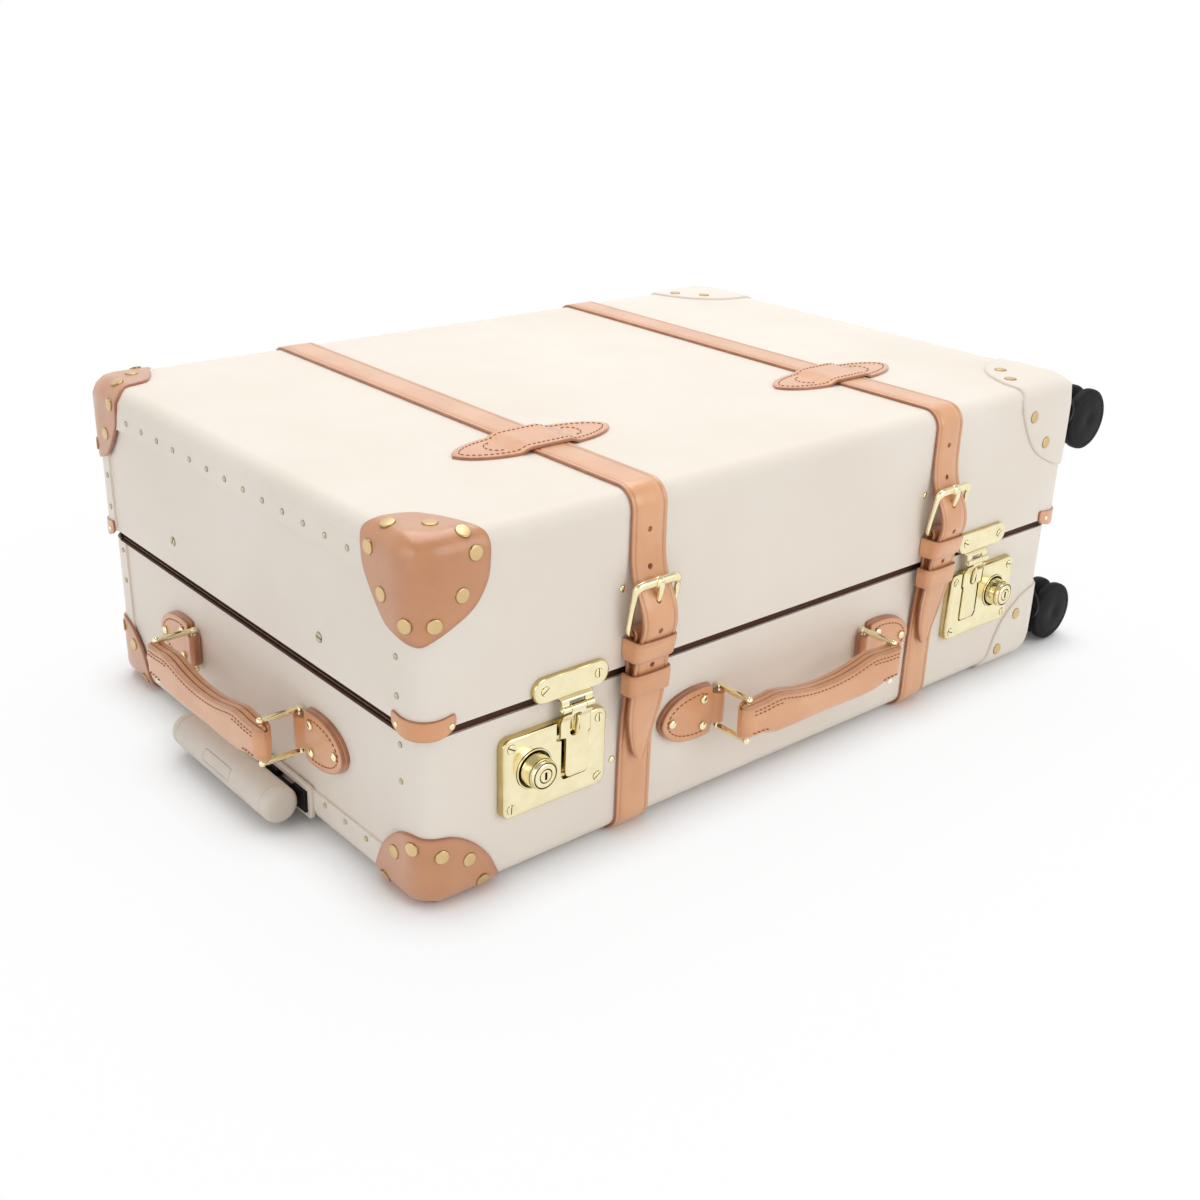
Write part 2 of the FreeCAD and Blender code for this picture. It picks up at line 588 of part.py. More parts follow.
def hinge_leaf(middle, is_lid):
    """One leaf, web and knuckles. The lid leaf has the middle knuckle, the base leaf the outer two."""
    length = size_of("hinge_long")
    third = length / 3
    radius = size_of("knuckle")
    start = middle - length / 2
    face = LY
    if is_lid:
        spans = [(start + third + KNUCKLE_GAP, third - 2 * KNUCKLE_GAP)]
        low = HINGE_Z + LEAF_GAP
        plate = Part.makeBox(length, LEAF_THICK, LEAF_HIGH, Vector(start, face, low))
        web = [(face, low), (face + LEAF_THICK, low + 2), (HINGE_Y + WEB, HINGE_Z + WEB),
               (HINGE_Y - WEB, HINGE_Z - 1)]
    else:
        spans = [(start, third), (start + 2 * third, third)]
        high = HINGE_Z - LEAF_GAP
        plate = Part.makeBox(length, LY + LEAF_THICK - BY, LEAF_HIGH, Vector(start, BY, high - LEAF_HIGH))
        web = [(face, high), (face + LEAF_THICK, high - 2), (HINGE_Y + WEB, HINGE_Z - WEB),
               (HINGE_Y - WEB, HINGE_Z + 1)]
    shape = plate
    for span_start, span_length in spans:
        corners = [Vector(span_start, y, z) for y, z in web]
        knuckle = Part.makeCylinder(radius, span_length, Vector(span_start, HINGE_Y, HINGE_Z), ACROSS_X)
        shape = shape.fuse(prism(corners, Vector(span_length, 0, 0))).fuse(knuckle)
    bore = Part.makeCylinder(size_of("hinge_pin") + PIN_SLIP, length + 2, Vector(start - 1, HINGE_Y, HINGE_Z),
                             ACROSS_X)
    return shape.cut(bore).removeSplitter()


HINGE_PLACES = [side * size_of("hinge_x") for side in (-1, 0, 1)]
node("lid_hinge_leaves", feature("lid_hinge_leaves", [hinge_leaf(place_x, True) for place_x in HINGE_PLACES]))
node("base_hinge_leaves", feature("base_hinge_leaves",
                                  [hinge_leaf(place_x, False) for place_x in HINGE_PLACES]))
pins = [rod("hinge_pin_%d" % number, "hinge_pin", "hinge_long",
            ("%d * hinge_x - hinge_long / 2" % side, "hinge_y", "hinge_z"), ALONG_X)
        for number, side in enumerate((-1, 0, 1))]
node("hinge_pins", group("hinge_pins", pins))

# Straps. The lid strap lies on the back and top of the lid. Down the front it runs straight and then along a
# circle round the hinge axis, so that it slides through its buckle and loops as the lid opens. The base strap
# passes under the base and carries the buckle.

STRAP_HALF = size_of("strap_width / 2")
RUN_RADIUS = size_of("strap_radius")
TAIL_POINT = 44.0
LOWER_BAR_Z = 143.6
LOWER_BAR_Y = -216.6
CHAPE_RADIUS = 3.2
BUCKLE_ROD = 1.8


def run_point(rise, outward):
    """A point of the curved run, at a rise over the hinge axis and a distance outside the inner face."""
    angle = math.asin(rise / RUN_RADIUS)
    radius = RUN_RADIUS + outward
    return Vector(0, HINGE_Y - radius * math.cos(angle), HINGE_Z + radius * math.sin(angle))


def band(inner, outer):
    """A closed face between two rows of edges, swept across the width of the strap."""
    caps = [Part.makeLine(inner[-1].Vertexes[-1].Point, outer[-1].Vertexes[-1].Point),
            Part.makeLine(outer[0].Vertexes[0].Point, inner[0].Vertexes[0].Point)]
    wire = Part.Wire(Part.__sortEdges__(inner + outer + caps))
    face = Part.Face(wire)
    face.translate(Vector(-STRAP_HALF, 0, 0))
    return face.extrude(Vector(2 * STRAP_HALF, 0, 0))


def quarter(centre_y, centre_z, radius, start, end):
    """An arc in the upright plane between two angles in degrees, seen with Y to the right."""
    def at(angle):
        turn = math.radians(angle)
        return Vector(0, centre_y + radius * math.cos(turn), centre_z + radius * math.sin(turn))
    return Part.Arc(at(start), at((start + end) / 2), at(end)).toShape()


def line(start, end):
    return Part.makeLine(start, end)


def lid_strap_side(offset):
    """The edges of one face of the lid strap, from the back to the tip."""
    back = LY + offset
    bend = EDGE + offset
    top = LID_TOP + offset
    foot = Vector(0, back, HINGE_Z + 3.0)
    back_bend = quarter(LY - EDGE, LID_TOP - EDGE, bend, 0, 90)
    front_bend = quarter(-LY + EDGE, LID_TOP - EDGE, bend, 90, 180)
    start = run_point(size_of("arc_rise"), offset)
    tip = run_point(-size_of("tail_drop"), offset)
    middle = run_point(0, offset)
    return [line(foot, Vector(0, back, LID_TOP - EDGE)), back_bend,
            line(Vector(0, LY - EDGE, top), Vector(0, -LY + EDGE, top)), front_bend,
            line(Vector(0, -back, LID_TOP - EDGE), start), Part.Arc(start, middle, tip).toShape()]


HOLE_STEPS = range(-2, 3)
HOLE_RISE = 48.0
HOLE_DEEP = 15.0


def strap_holes(shape):
    """Five holes in a row. Those over the curved run point straight out from the wall."""
    for step in HOLE_STEPS:
        rise = HOLE_RISE - size_of("hole_pitch") * step
        spot = run_point(rise, LEATHER - HOLE_DEEP / 2)
        outward = Vector(0, -1, 0)
        if rise < size_of("arc_rise"):
            outward = Vector(0, spot.y - HINGE_Y, spot.z - HINGE_Z)
        shape = shape.cut(Part.makeCylinder(size_of("hole_radius"), HOLE_DEEP, spot, outward))
    return shape


def lid_strap():
    shape = band(lid_strap_side(0), lid_strap_side(LEATHER))
    tip = run_point(-size_of("tail_drop"), 0)
    for side in (-1, 1):
        wedge = [Vector(0, -LY - 40, tip.z - 2), Vector(side * (STRAP_HALF + 1), -LY - 40, tip.z - 2),
                 Vector(side * (STRAP_HALF + 1), -LY - 40, tip.z + TAIL_POINT)]
        shape = shape.cut(prism(wedge, Vector(0, 60, 0)))
    return strap_holes(shape)


STRAND_IN = LY + size_of("strap_gap")
BEND_UNDER = 14.0


def base_strap_side(offset):
    """The edges of one face of the base strap, from the back to the buckle."""
    wall = STRAND_IN + offset
    bend = BEND_UNDER + offset
    level = BASE_BOTTOM - offset
    centre = STRAND_IN - BEND_UNDER
    rise = BASE_BOTTOM + BEND_UNDER
    return [line(Vector(0, wall, HINGE_Z - 3.0), Vector(0, wall, rise)),
            quarter(centre, rise, bend, 0, -90),
            line(Vector(0, centre, level), Vector(0, -centre, level)),
            quarter(-centre, rise, bend, -90, -180),
            line(Vector(0, -wall, rise), Vector(0, -wall, LOWER_BAR_Z))]


def base_strap():
    shape = band(base_strap_side(0), base_strap_side(LEATHER))
    wide = 2 * STRAP_HALF
    fold = Part.makeCylinder(CHAPE_RADIUS, wide, Vector(-STRAP_HALF, LOWER_BAR_Y, LOWER_BAR_Z), ACROSS_X)
    bore_start = Vector(-wide, LOWER_BAR_Y, LOWER_BAR_Z)
    bore = Part.makeCylinder(BUCKLE_ROD + PIN_SLIP, 2 * wide, bore_start, ACROSS_X)
    return shape.fuse(fold).cut(bore)


def both_straps(shape):
    """The same piece on the strap near the handle end and on the one near the wheels."""
    middle = size_of("strap_x")
    return [shape.translated(Vector(-middle, 0, 0)), shape.translated(Vector(middle, 0, 0))]


node("lid_straps", feature("lid_straps", both_straps(lid_strap())))
node("base_straps", feature("base_straps", both_straps(base_strap())))

# Buckles: a wire frame round the lower bar, a prong on the upper bar, and two leather loops under it.

PRONG_KNUCKLE = 3.0
UPPER_RISE = size_of("arc_rise")
UPPER_BAR = run_point(UPPER_RISE, LEATHER + size_of("strap_gap") + PRONG_KNUCKLE)
LOWER_BAR = Vector(0, LOWER_BAR_Y, LOWER_BAR_Z)
FRAME_HALF = STRAP_HALF + 3.2
FRAME_BEND = 4.0


def wire_loop(corners, bend, radius):
    """A closed round wire through four corners with rounded bends."""
    count = len(corners)
    edges = []
    for index, corner in enumerate(corners):
        towards = (corners[(index + 1) % count] - corner).normalize()
        back = (corners[index - 1] - corner).normalize()
        start = corner + back * bend
        end = corner + towards * bend
        centre = corner + back * bend + towards * bend
        middle = centre + (corner - centre).normalize() * bend
        following = corners[(index + 1) % count]
        edges.append(Part.Arc(start, middle, end).toShape())
        edges.append(line(end, following - towards * bend))
    path = Part.Wire(Part.__sortEdges__(edges))
    along = edges[0].tangentAt(edges[0].FirstParameter)
    profile = Part.Wire(Part.makeCircle(radius, edges[0].Vertexes[0].Point, along))
    return path.makePipeShell([profile], True, False)


frame_corners = [UPPER_BAR + Vector(-FRAME_HALF, 0, 0), UPPER_BAR + Vector(FRAME_HALF, 0, 0),
                 LOWER_BAR + Vector(FRAME_HALF, 0, 0), LOWER_BAR + Vector(-FRAME_HALF, 0, 0)]
node("buckle_frames", feature("buckle_frames", both_straps(wire_loop(frame_corners, FRAME_BEND, BUCKLE_ROD))))

PRONG_WIDE = 5.0
PRONG_LONG = 13.0
PRONG_THICK = 1.8


def prong():
    across = PRONG_WIDE / 2
    knuckle = Part.makeCylinder(PRONG_KNUCKLE, PRONG_WIDE, UPPER_BAR + Vector(-across, 0, 0), ACROSS_X)
    low = run_point(UPPER_RISE - PRONG_LONG, LEATHER + size_of("strap_gap"))
    side = [Vector(-across, UPPER_BAR.y + 1.2, UPPER_BAR.z), Vector(-across, UPPER_BAR.y - 1.6, UPPER_BAR.z),
            Vector(-across, low.y - PRONG_THICK, low.z), Vector(-across, low.y, low.z)]
    blade = prism(side, Vector(PRONG_WIDE, 0, 0))
    bore = Part.makeCylinder(BUCKLE_ROD + PIN_SLIP, 4 * PRONG_WIDE, UPPER_BAR - Vector(2 * PRONG_WIDE, 0, 0),
                             ACROSS_X)
    return knuckle.fuse(blade).cut(bore)


prong_pair = both_straps(prong())
node("buckle_prong_left", feature("buckle_prong_left", prong_pair[:1]))
node("buckle_prong_right", feature("buckle_prong_right", prong_pair[1:]))

LOOP_LEATHER = 1.8
LOOP_SIDE_GAP = 0.6
UPPER_LOOP = 126.1
LOWER_LOOP = 102.1
UPPER_LOOP_HIGH = 11.5
LOWER_LOOP_HIGH = 15.0


def strap_loop(low, high):
    """A leather loop: its legs end on the edges of the base strap, its front passes over the lid strap."""
    front = LEATHER + size_of("strap_gap")
    at_low = run_point(low - HINGE_Z, front)
    at_high = run_point(high - HINGE_Z, front)
    face = min(at_low.y, at_high.y, run_point(0, front).y if low < HINGE_Z < high else at_low.y)
    outer_half = STRAP_HALF + LOOP_LEATHER + LOOP_SIDE_GAP
    shape = Part.makeBox(2 * outer_half, -STRAND_IN - face + LOOP_LEATHER, high - low,
                         Vector(-outer_half, face - LOOP_LEATHER, low))
    room = Part.makeBox(2 * (STRAP_HALF + LOOP_SIDE_GAP), -STRAND_IN - face + 5, high - low + 2,
                        Vector(-STRAP_HALF - LOOP_SIDE_GAP, face, low - 1))
    upright = [item for item in shape.Edges if abs(item.BoundBox.ZLength - (high - low)) < 1e-6
               and item.BoundBox.YMax < face]
    shape = shape.makeFillet(LOOP_LEATHER, upright).cut(room)
    foot_long = LOOP_SIDE_GAP
    feet = [Part.makeBox(foot_long, LEATHER, high - low, Vector(side, -STRAND_IN - LEATHER, low))
            for side in (-STRAP_HALF - foot_long, STRAP_HALF)]
    return shape.fuse(feet[0]).fuse(feet[1]).removeSplitter()


loops = both_straps(strap_loop(UPPER_LOOP, UPPER_LOOP + UPPER_LOOP_HIGH))
loops += both_straps(strap_loop(LOWER_LOOP, LOWER_LOOP + LOWER_LOOP_HIGH))
node("strap_loops", feature("strap_loops", loops))

# Keepers on the lid top: leaf-shaped leather that bridges each strap.

KEEPER_LONG = 126.0
KEEPER_WIDE = 40.0
KEEPER_THICK = 2.0
KEEPER_Y = -100.0


def keeper():
    over = LID_TOP + LEATHER + 0.3
    low = LID_TOP
    reach = STRAP_HALF + 0.8
    ramp = reach + 8
    half = KEEPER_LONG / 2
    under = [(-half, low), (-ramp, low), (-reach, over), (reach, over), (ramp, low), (half, low)]
    lean = 0.8
    upper_ramp = ramp + lean
    upper_reach = reach + lean
    face = [(half, low), (upper_ramp, low), (upper_reach, over), (-upper_reach, over), (-upper_ramp, low),
            (-half, low)]
    profile = under + [(x, z + KEEPER_THICK) for x, z in face]
    strip = prism([Vector(x, KEEPER_Y - KEEPER_WIDE, z) for x, z in profile], Vector(0, 2 * KEEPER_WIDE, 0))
    blunt = 7.0
    tips = [Vector(-half, KEEPER_Y - blunt, low), Vector(-half, KEEPER_Y + blunt, low),
            Vector(half, KEEPER_Y + blunt, low), Vector(half, KEEPER_Y - blunt, low)]
    back_bow = Vector(0, KEEPER_Y + KEEPER_WIDE / 2, low)
    front_bow = Vector(0, KEEPER_Y - KEEPER_WIDE / 2, low)
    edges = [line(tips[0], tips[1]), Part.Arc(tips[1], back_bow, tips[2]).toShape(),
             line(tips[2], tips[3]), Part.Arc(tips[3], front_bow, tips[0]).toShape()]
    leaf = Part.Face(Part.Wire(edges)).extrude(Vector(0, 0, 20))
    return strip.common(leaf)


node("strap_keepers", feature("strap_keepers", both_straps(keeper())))

# Locks: a plate on the base with a key knob and a catch, and on the lid a hasp plate with a hinged flap.

LOCK_FACE = "-(%s) / 2 - lock_deep" % BASE_WIDTH
HASP_GAP = 0.4
lock_left = rounded_block("lock_left", "lock_wide", "lock_high", "lock_deep", "4",
                          ("-lock_x", "-(%s) / 2" % BASE_WIDTH, "lock_z"), "1.2", True, FACING_FRONT)
knob_seat = rod("knob_seat", "knob_radius + 0.3", "3", ("-knob_x", LOCK_FACE + " - 1", "knob_z"), ALONG_Y)
catch_left = box("catch_left", ("5", "2.2", "6"), ("-hasp_x - 2.5", LOCK_FACE + " - 1.1", "catch_low"))
plate_left = cut("plate_left", lock_left, knob_seat)
lock_body_left = fuse("lock_body_left", [plate_left, catch_left])
lock_body_right = mirrored("lock_body_right", lock_body_left, ACROSS_X)
node("lock_bodies", group("lock_bodies", [lock_body_left, lock_body_right]))
PLATE_FRONT = size_of(LOCK_FACE)
SCREW_IN = 6.5
lock_screws = []
for side in (-1, 1):
    for across in (-1, 1):
        for up in (-1, 1):
            screw_x = side * size_of("lock_x") + across * (size_of("lock_wide / 2") - SCREW_IN)
            screw_z = size_of("lock_z") + up * (size_of("lock_high / 2") - SCREW_IN)
            spot = Vector(screw_x, PLATE_FRONT, screw_z)
            lock_screws.append(head(spot, Vector(0, -1, 0), 3.0, 0.7))
node("lock_screws", feature("lock_screws", lock_screws))


def lock_knob(side):
    """A round knob that turns with its key plug and has a slot for the key."""
    seat = PLATE_FRONT + 1.9
    spot = Vector(side * size_of("knob_x"), seat, size_of("knob_z"))
    outward = Vector(0, -1, 0)
    deep = size_of("knob_deep")
    radius = size_of("knob_radius")
    shape = Part.makeCylinder(radius, 3.0, spot, outward)
    shape = shape.fuse(Part.makeCone(radius - 1.5, radius - 2.5, deep, spot, outward))
    slot = Part.makeBox(1.6, 3.0, 9.0, Vector(spot.x - 0.8, seat - deep - 0.5, spot.z - 4.5))
    return shape.cut(slot)


node("lock_knob_left", feature("lock_knob_left", [lock_knob(-1)]))
node("lock_knob_right", feature("lock_knob_right", [lock_knob(1)]))

HASP_AXIS_Y = PLATE_FRONT - HASP_GAP - size_of("hasp_thick / 2") - 1.0
HASP_AXIS_Z = size_of("hasp_axis_z")
HASP_THICK = size_of("hasp_thick")
HASP_KNUCKLE = size_of("hasp_knuckle")
HASP_PIN = 1.1


def hasp_plate(side):
    """The plate on the lid, with the two outer knuckles of the hasp."""
    wide = size_of("hasp_plate_wide")
    low = size_of("hasp_plate_low")
    middle = side * size_of("hasp_plate_x")
    shape = Part.makeBox(wide, HASP_THICK, size_of("hasp_plate_high"),
                         Vector(middle - wide / 2, -LY - HASP_THICK, low))
    lug = 6.0
    for edge in (-1, 1):
        start = side * size_of("hasp_x") + edge * (size_of("hasp_wide / 2") - lug / 2) - lug / 2
        knuckle = Part.makeCylinder(HASP_KNUCKLE, lug, Vector(start, HASP_AXIS_Y, HASP_AXIS_Z), ACROSS_X)
        outline = [(-LY - 0.2, low + 1.5), (-LY - 0.2, low - 0.6), (HASP_AXIS_Y + 1.5, HASP_AXIS_Z),
                   (HASP_AXIS_Y - 1.5, HASP_AXIS_Z + 1), (-LY - HASP_THICK, low + 1.5)]
        corners = [Vector(start, y, z) for y, z in outline]
        shape = shape.fuse(prism(corners, Vector(lug, 0, 0))).fuse(knuckle)
    bore_start = Vector(side * size_of("hasp_x") - wide / 2, HASP_AXIS_Y, HASP_AXIS_Z)
    bore = Part.makeCylinder(HASP_PIN + PIN_SLIP, wide, bore_start, ACROSS_X)
    return shape.cut(bore)


def hasp_flap(side):
    """The flap with its middle knuckle, pin and slot."""
    wide = size_of("hasp_wide")
    middle = side * size_of("hasp_x")
    low = size_of("hasp_low")
    back = PLATE_FRONT - HASP_GAP
    top = HASP_AXIS_Z - HASP_KNUCKLE - 1.2
    shape = Part.makeBox(wide, HASP_THICK, top - low, Vector(middle - wide / 2, back - HASP_THICK, low))
    lower = [item for item in shape.Edges
             if item.BoundBox.ZMax < low + 1e-6 and item.BoundBox.YLength > HASP_THICK / 2]
    upright = [item for item in lower if item.BoundBox.XLength < 1e-6]
    shape = shape.makeFillet(5.0, upright)
    inner = wide - 2 * (6.0 + 0.3)
    start = middle - inner / 2
    knuckle = Part.makeCylinder(HASP_KNUCKLE, inner, Vector(start, HASP_AXIS_Y, HASP_AXIS_Z), ACROSS_X)
    outline = [(back, top), (back - HASP_THICK, top), (HASP_AXIS_Y - 1.5, HASP_AXIS_Z),
               (HASP_AXIS_Y + 1.5, HASP_AXIS_Z)]
    corners = [Vector(start, y, z) for y, z in outline]
    slot_low = size_of("slot_low")
    slot_wide = 7.0
    slot = Part.makeBox(slot_wide, 10.0, size_of("slot_high") - slot_low,
                        Vector(middle - slot_wide / 2, back - 6, slot_low))
    pin_long = wide - 1.0
    pin_start = Vector(middle - pin_long / 2, HASP_AXIS_Y, HASP_AXIS_Z)
    pin = Part.makeCylinder(HASP_PIN, pin_long, pin_start, ACROSS_X)
    shape = shape.fuse(prism(corners, Vector(inner, 0, 0))).fuse(knuckle).fuse(pin)
    return shape.cut(slot)


node("hasp_plates", feature("hasp_plates", [hasp_plate(side) for side in (-1, 1)]))
node("hasp_flap_left", feature("hasp_flap_left", [hasp_flap(-1)]))
node("hasp_flap_right", feature("hasp_flap_right", [hasp_flap(1)]))
HASP_SCREW_ASIDE = 20.5
lid_screws = []
for side in (-1, 1):
    for across in (-1, 1):
        spot = Vector(side * size_of("hasp_plate_x") + across * HASP_SCREW_ASIDE, -LY - HASP_THICK,
                      size_of("hasp_plate_low + hasp_plate_high / 2"))
        lid_screws.append(head(spot, Vector(0, -1, 0), 3.0, 0.7))
END_SCREW_Y = (91.0, -104.0)
END_SCREW_Z = 141.6
for screw_y in END_SCREW_Y:
    spot = Vector(-LX + SHEET, screw_y, END_SCREW_Z)
    lid_screws.append(head(spot, Vector(-1, 0, 0), 3.2, 0.8))
node("lid_screws", feature("lid_screws", lid_screws))

# Carry handles, drawn for the front wall round the middle of the handle: U along the wall, V outwards, W up.
# The end handle is the same, turned on to the handle end.

PIVOT = size_of("handle_pivot")
RING_REACH = size_of("ring_reach")
RING_ROD = size_of("ring_rod")
FOLD = size_of("fold_radius")
RING_OUT = FOLD
END_FACE = BX - SHEET
END_HANDLE_Y = -2.0


def on_front(shape):
    placed = shape.copy()
    placed.Placement = FreeCAD.Placement(Vector(0, -BY, size_of("handle_z")), FreeCAD.Rotation())
    return placed


def on_end(shape):
    placed = shape.copy()
    turn = FreeCAD.Rotation(Vector(0, 0, 1), -90)
    placed.Placement = FreeCAD.Placement(Vector(-END_FACE, END_HANDLE_Y, size_of("handle_z")), turn)
    return placed


SHOULDER = PIVOT + 6.5
PLATE_WIDEST = PIVOT + 19.0


def handle_plate(side):
    """A half-moon plate with a narrower tongue, which is folded round the ring bar."""
    half = size_of("plate_high / 2")
    tongue = size_of("tongue_high / 2")
    thick = size_of("plate_thick")
    tip = size_of("handle_tip")
    bulge = half + 0.9
    top = Vector(side * SHOULDER, 0, half)
    low = Vector(side * SHOULDER, 0, -half)
    wide_top = Vector(side * PLATE_WIDEST, 0, bulge)
    wide_low = Vector(side * PLATE_WIDEST, 0, -bulge)
    upper_end = [(tip - 24, bulge - 0.9), (tip - 15, bulge - 3.5), (tip - 7, bulge - 8.3), (tip - 1.8, 4.6)]
    end = [wide_top] + [Vector(side * along, 0, up) for along, up in upper_end] + [Vector(side * tip, 0, 0)]
    end += [Vector(side * along, 0, -up) for along, up in reversed(upper_end)] + [wide_low]
    curve = Part.BSplineCurve()
    curve.interpolate(end)
    edges = [line(low, top), line(top, wide_top), curve.toShape(), line(wide_low, low)]
    shape = Part.Face(Part.Wire(edges)).extrude(Vector(0, -thick, 0))
    corners = [Vector(side * along, 0, up) for along, up in
               ((PIVOT, -tongue), (PIVOT, tongue), (SHOULDER + 1, tongue), (SHOULDER + 1, -tongue))]
    shape = shape.fuse(prism(corners, Vector(0, -thick, 0)))
    fold = Part.makeCylinder(FOLD, 2 * tongue, Vector(side * PIVOT, -RING_OUT, -tongue), Vector(0, 0, 1))
    bore = Part.makeCylinder(RING_ROD + size_of("ring_slip"), 2 * half + 2,
                             Vector(side * PIVOT, -RING_OUT, -half - 1), Vector(0, 0, 1))
    return shape.fuse(fold).cut(bore).removeSplitter()


def handle_rivets(side):
    thick = size_of("plate_thick")
    spots = [(PIVOT + 15, 9.7), (PIVOT + 15, -9.7), (PIVOT + 43, 0.0)]
    return [head(Vector(side * along, -thick, up), Vector(0, -1, 0), 3.2, 0.9) for along, up in spots]


def handle_ring(side):
    half = size_of("ring_half")
    inner = -RING_OUT
    outer = -RING_OUT - RING_REACH
    corners = [Vector(side * PIVOT, inner, half), Vector(side * PIVOT, outer, half),
               Vector(side * PIVOT, outer, -half), Vector(side * PIVOT, inner, -half)]
    return wire_loop(corners, 2.6, RING_ROD)


GRIP_BORE_GAP = 0.3


def grip_section(along, high, thick, drop):
    """One cross section of the grip, a rounded rectangle, with its middle a drop lower."""
    centre = -RING_OUT - RING_REACH
    soft = min(high, thick) * 0.36
    in_v = thick / 2 - soft
    in_w = high / 2 - soft
    edges = []
    corners = [(1, 1), (-1, 1), (-1, -1), (1, -1)]
    arcs = []
    for index, (sign_v, sign_w) in enumerate(corners):
        turn = math.radians(45 + 90 * index)
        middle_v = centre + sign_v * in_v
        middle_w = sign_w * in_w - drop
        points = []
        for step in (-45, 0, 45):
            angle = turn + math.radians(step)
            points.append(Vector(along, middle_v + soft * math.cos(angle), middle_w + soft * math.sin(angle)))
        arcs.append(points)
    for index, points in enumerate(arcs):
        edges.append(Part.Arc(*points).toShape())
        edges.append(line(points[2], arcs[(index + 1) % 4][0]))
    return Part.Wire(edges)


def handle_grip():
    half = size_of("grip_half")
    end_high = size_of("grip_end_high")
    full_high = size_of("grip_full_high")
    mid_high = size_of("grip_mid_high")
    thick = size_of("grip_thick")
    inward = [(0, end_high - 2, thick - 3, 0), (3, end_high - 0.4, thick - 0.6, 0), (8, end_high, thick, 0),
              (14, end_high, thick, 0), (18, end_high, thick, 0), (25, full_high - 1, thick, 0.7),
              (32, full_high, thick, 1.0), (50, full_high - 3.5, thick, 3.0)]
    stations = [(step - half, high, deep, drop) for step, high, deep, drop in inward]
    stations.append((0, mid_high, thick, 4.2))
    stations += [(half - step, high, deep, drop) for step, high, deep, drop in reversed(inward)]
    shape = Part.makeLoft([grip_section(*station) for station in stations], True, False)
    for side, gap in ((-1, size_of("ring_slip")), (1, GRIP_BORE_GAP)):
        centre = Vector(side * PIVOT, -RING_OUT - RING_REACH, -60)
        shape = shape.cut(Part.makeCylinder(RING_ROD + gap, 120, centre, Vector(0, 0, 1)))
    return shape


plates = [handle_plate(side) for side in (-1, 1)]
heads = [item for side in (-1, 1) for item in handle_rivets(side)]
both_plates = [on_front(item) for item in plates] + [on_end(item) for item in plates]
node("handle_plates", feature("handle_plates", both_plates))
handle_heads = [on_front(item) for item in heads] + [on_end(item) for item in heads]

# Studs beside the straps, and the groups of brass heads.

STUD_LID_Z = 173.2
STUD_BASE_Z = 54.6
STUD_ASIDE = 18.0
STUD_RADIUS = 2.4
lid_studs = []
base_studs = []
for side in (-1, 1):
    stud_x = side * size_of("strap_x") - STUD_ASIDE
    lid_studs.append(head(Vector(stud_x, -LY, STUD_LID_Z), Vector(0, -1, 0), STUD_RADIUS, 1.4))
    base_studs.append(head(Vector(stud_x, -BY, STUD_BASE_Z), Vector(0, -1, 0), STUD_RADIUS, 1.4))
node("lid_tacks", feature("lid_tacks", lid_tacks + tab_rivets + lid_studs))
node("base_tacks", feature("base_tacks", base_tacks + handle_heads + base_studs))
rings = [handle_ring(side) for side in (-1, 1)]
node("front_ring_left", feature("front_ring_left", [on_front(rings[0])]))
node("front_ring_right", feature("front_ring_right", [on_front(rings[1])]))
node("end_ring_back", feature("end_ring_back", [on_end(rings[0])]))
node("end_ring_front", feature("end_ring_front", [on_end(rings[1])]))
grip = handle_grip()
node("front_grip", feature("front_grip", [on_front(grip)]))
node("end_grip", feature("end_grip", [on_end(grip)]))

# Trolley handle: fixed tubes in the base, two sliding stages, a round grip with a release button, and a bezel
# with a cradle for the grip.

TUBE_START = "-(%s) / 2 + sheet" % BASE_LENGTH
WALL_OUT = "-(%s) / 2" % BASE_LENGTH


def tube_pair(name, inset, start, length):
    """Two square tubes, each smaller than the fixed tube by inset on every side."""
    parts = []
    for number, side in enumerate((-1, 1)):
        wide = "tube_wide - 2 * (%s)" % inset
        high = "tube_high - 2 * (%s)" % inset
        middle = "trolley_y + %d * tube_y" % side
        outer = box("%s_outer_%d" % (name, number), (length, wide, high),
                    (start, "%s - (%s) / 2" % (middle, wide), "trolley_z - (%s) / 2" % high))
        inner = box("%s_inner_%d" % (name, number), (length + " + 20", wide + " - 2 * tube_wall",
                                                     high + " - 2 * tube_wall"),
                    (start + " - 10", "%s - (%s) / 2 + tube_wall" % (middle, wide),
                     "trolley_z - (%s) / 2 + tube_wall" % high))
        parts.append(cut("%s_tube_%d" % (name, number), outer, inner))
    return group(name, parts)


STAGE = "(tube_wall + tube_gap)"
node("trolley_fixed_tubes", tube_pair("trolley_fixed_tubes", "0", TUBE_START, "tube_long"))
node("trolley_middle_tubes", tube_pair("trolley_middle_tubes", STAGE, WALL_OUT + " - 1.5", "tube_long - 20"))
node("trolley_inner_tubes", tube_pair("trolley_inner_tubes", "2 * " + STAGE, WALL_OUT + " - 3.2",
                                      "tube_long - 40"))

grip_bar = rod("grip_bar", "trolley_radius", "2 * trolley_half",
               ("grip_x", "trolley_y - trolley_half", "trolley_z"), ALONG_Y)
grip_ends = doc.addObject("Part::Fillet", "grip_ends")
grip_ends.Base = grip_bar
doc.recompute()
rims = [number for number, edge in enumerate(grip_bar.Shape.Edges, start=1) if len(edge.Vertexes) == 1]
grip_ends.Edges = [(number, 2.6, 2.6) for number in rims]
doc.recompute()

GRIP_AXIS = Vector(size_of("grip_x"), size_of("trolley_y"), size_of("trolley_z"))
GRIP_RADIUS = size_of("trolley_radius")
BUTTON_TILT = 22.0
BUTTON_DEEP = 5.0
BUTTON_TRAVEL = 2.0


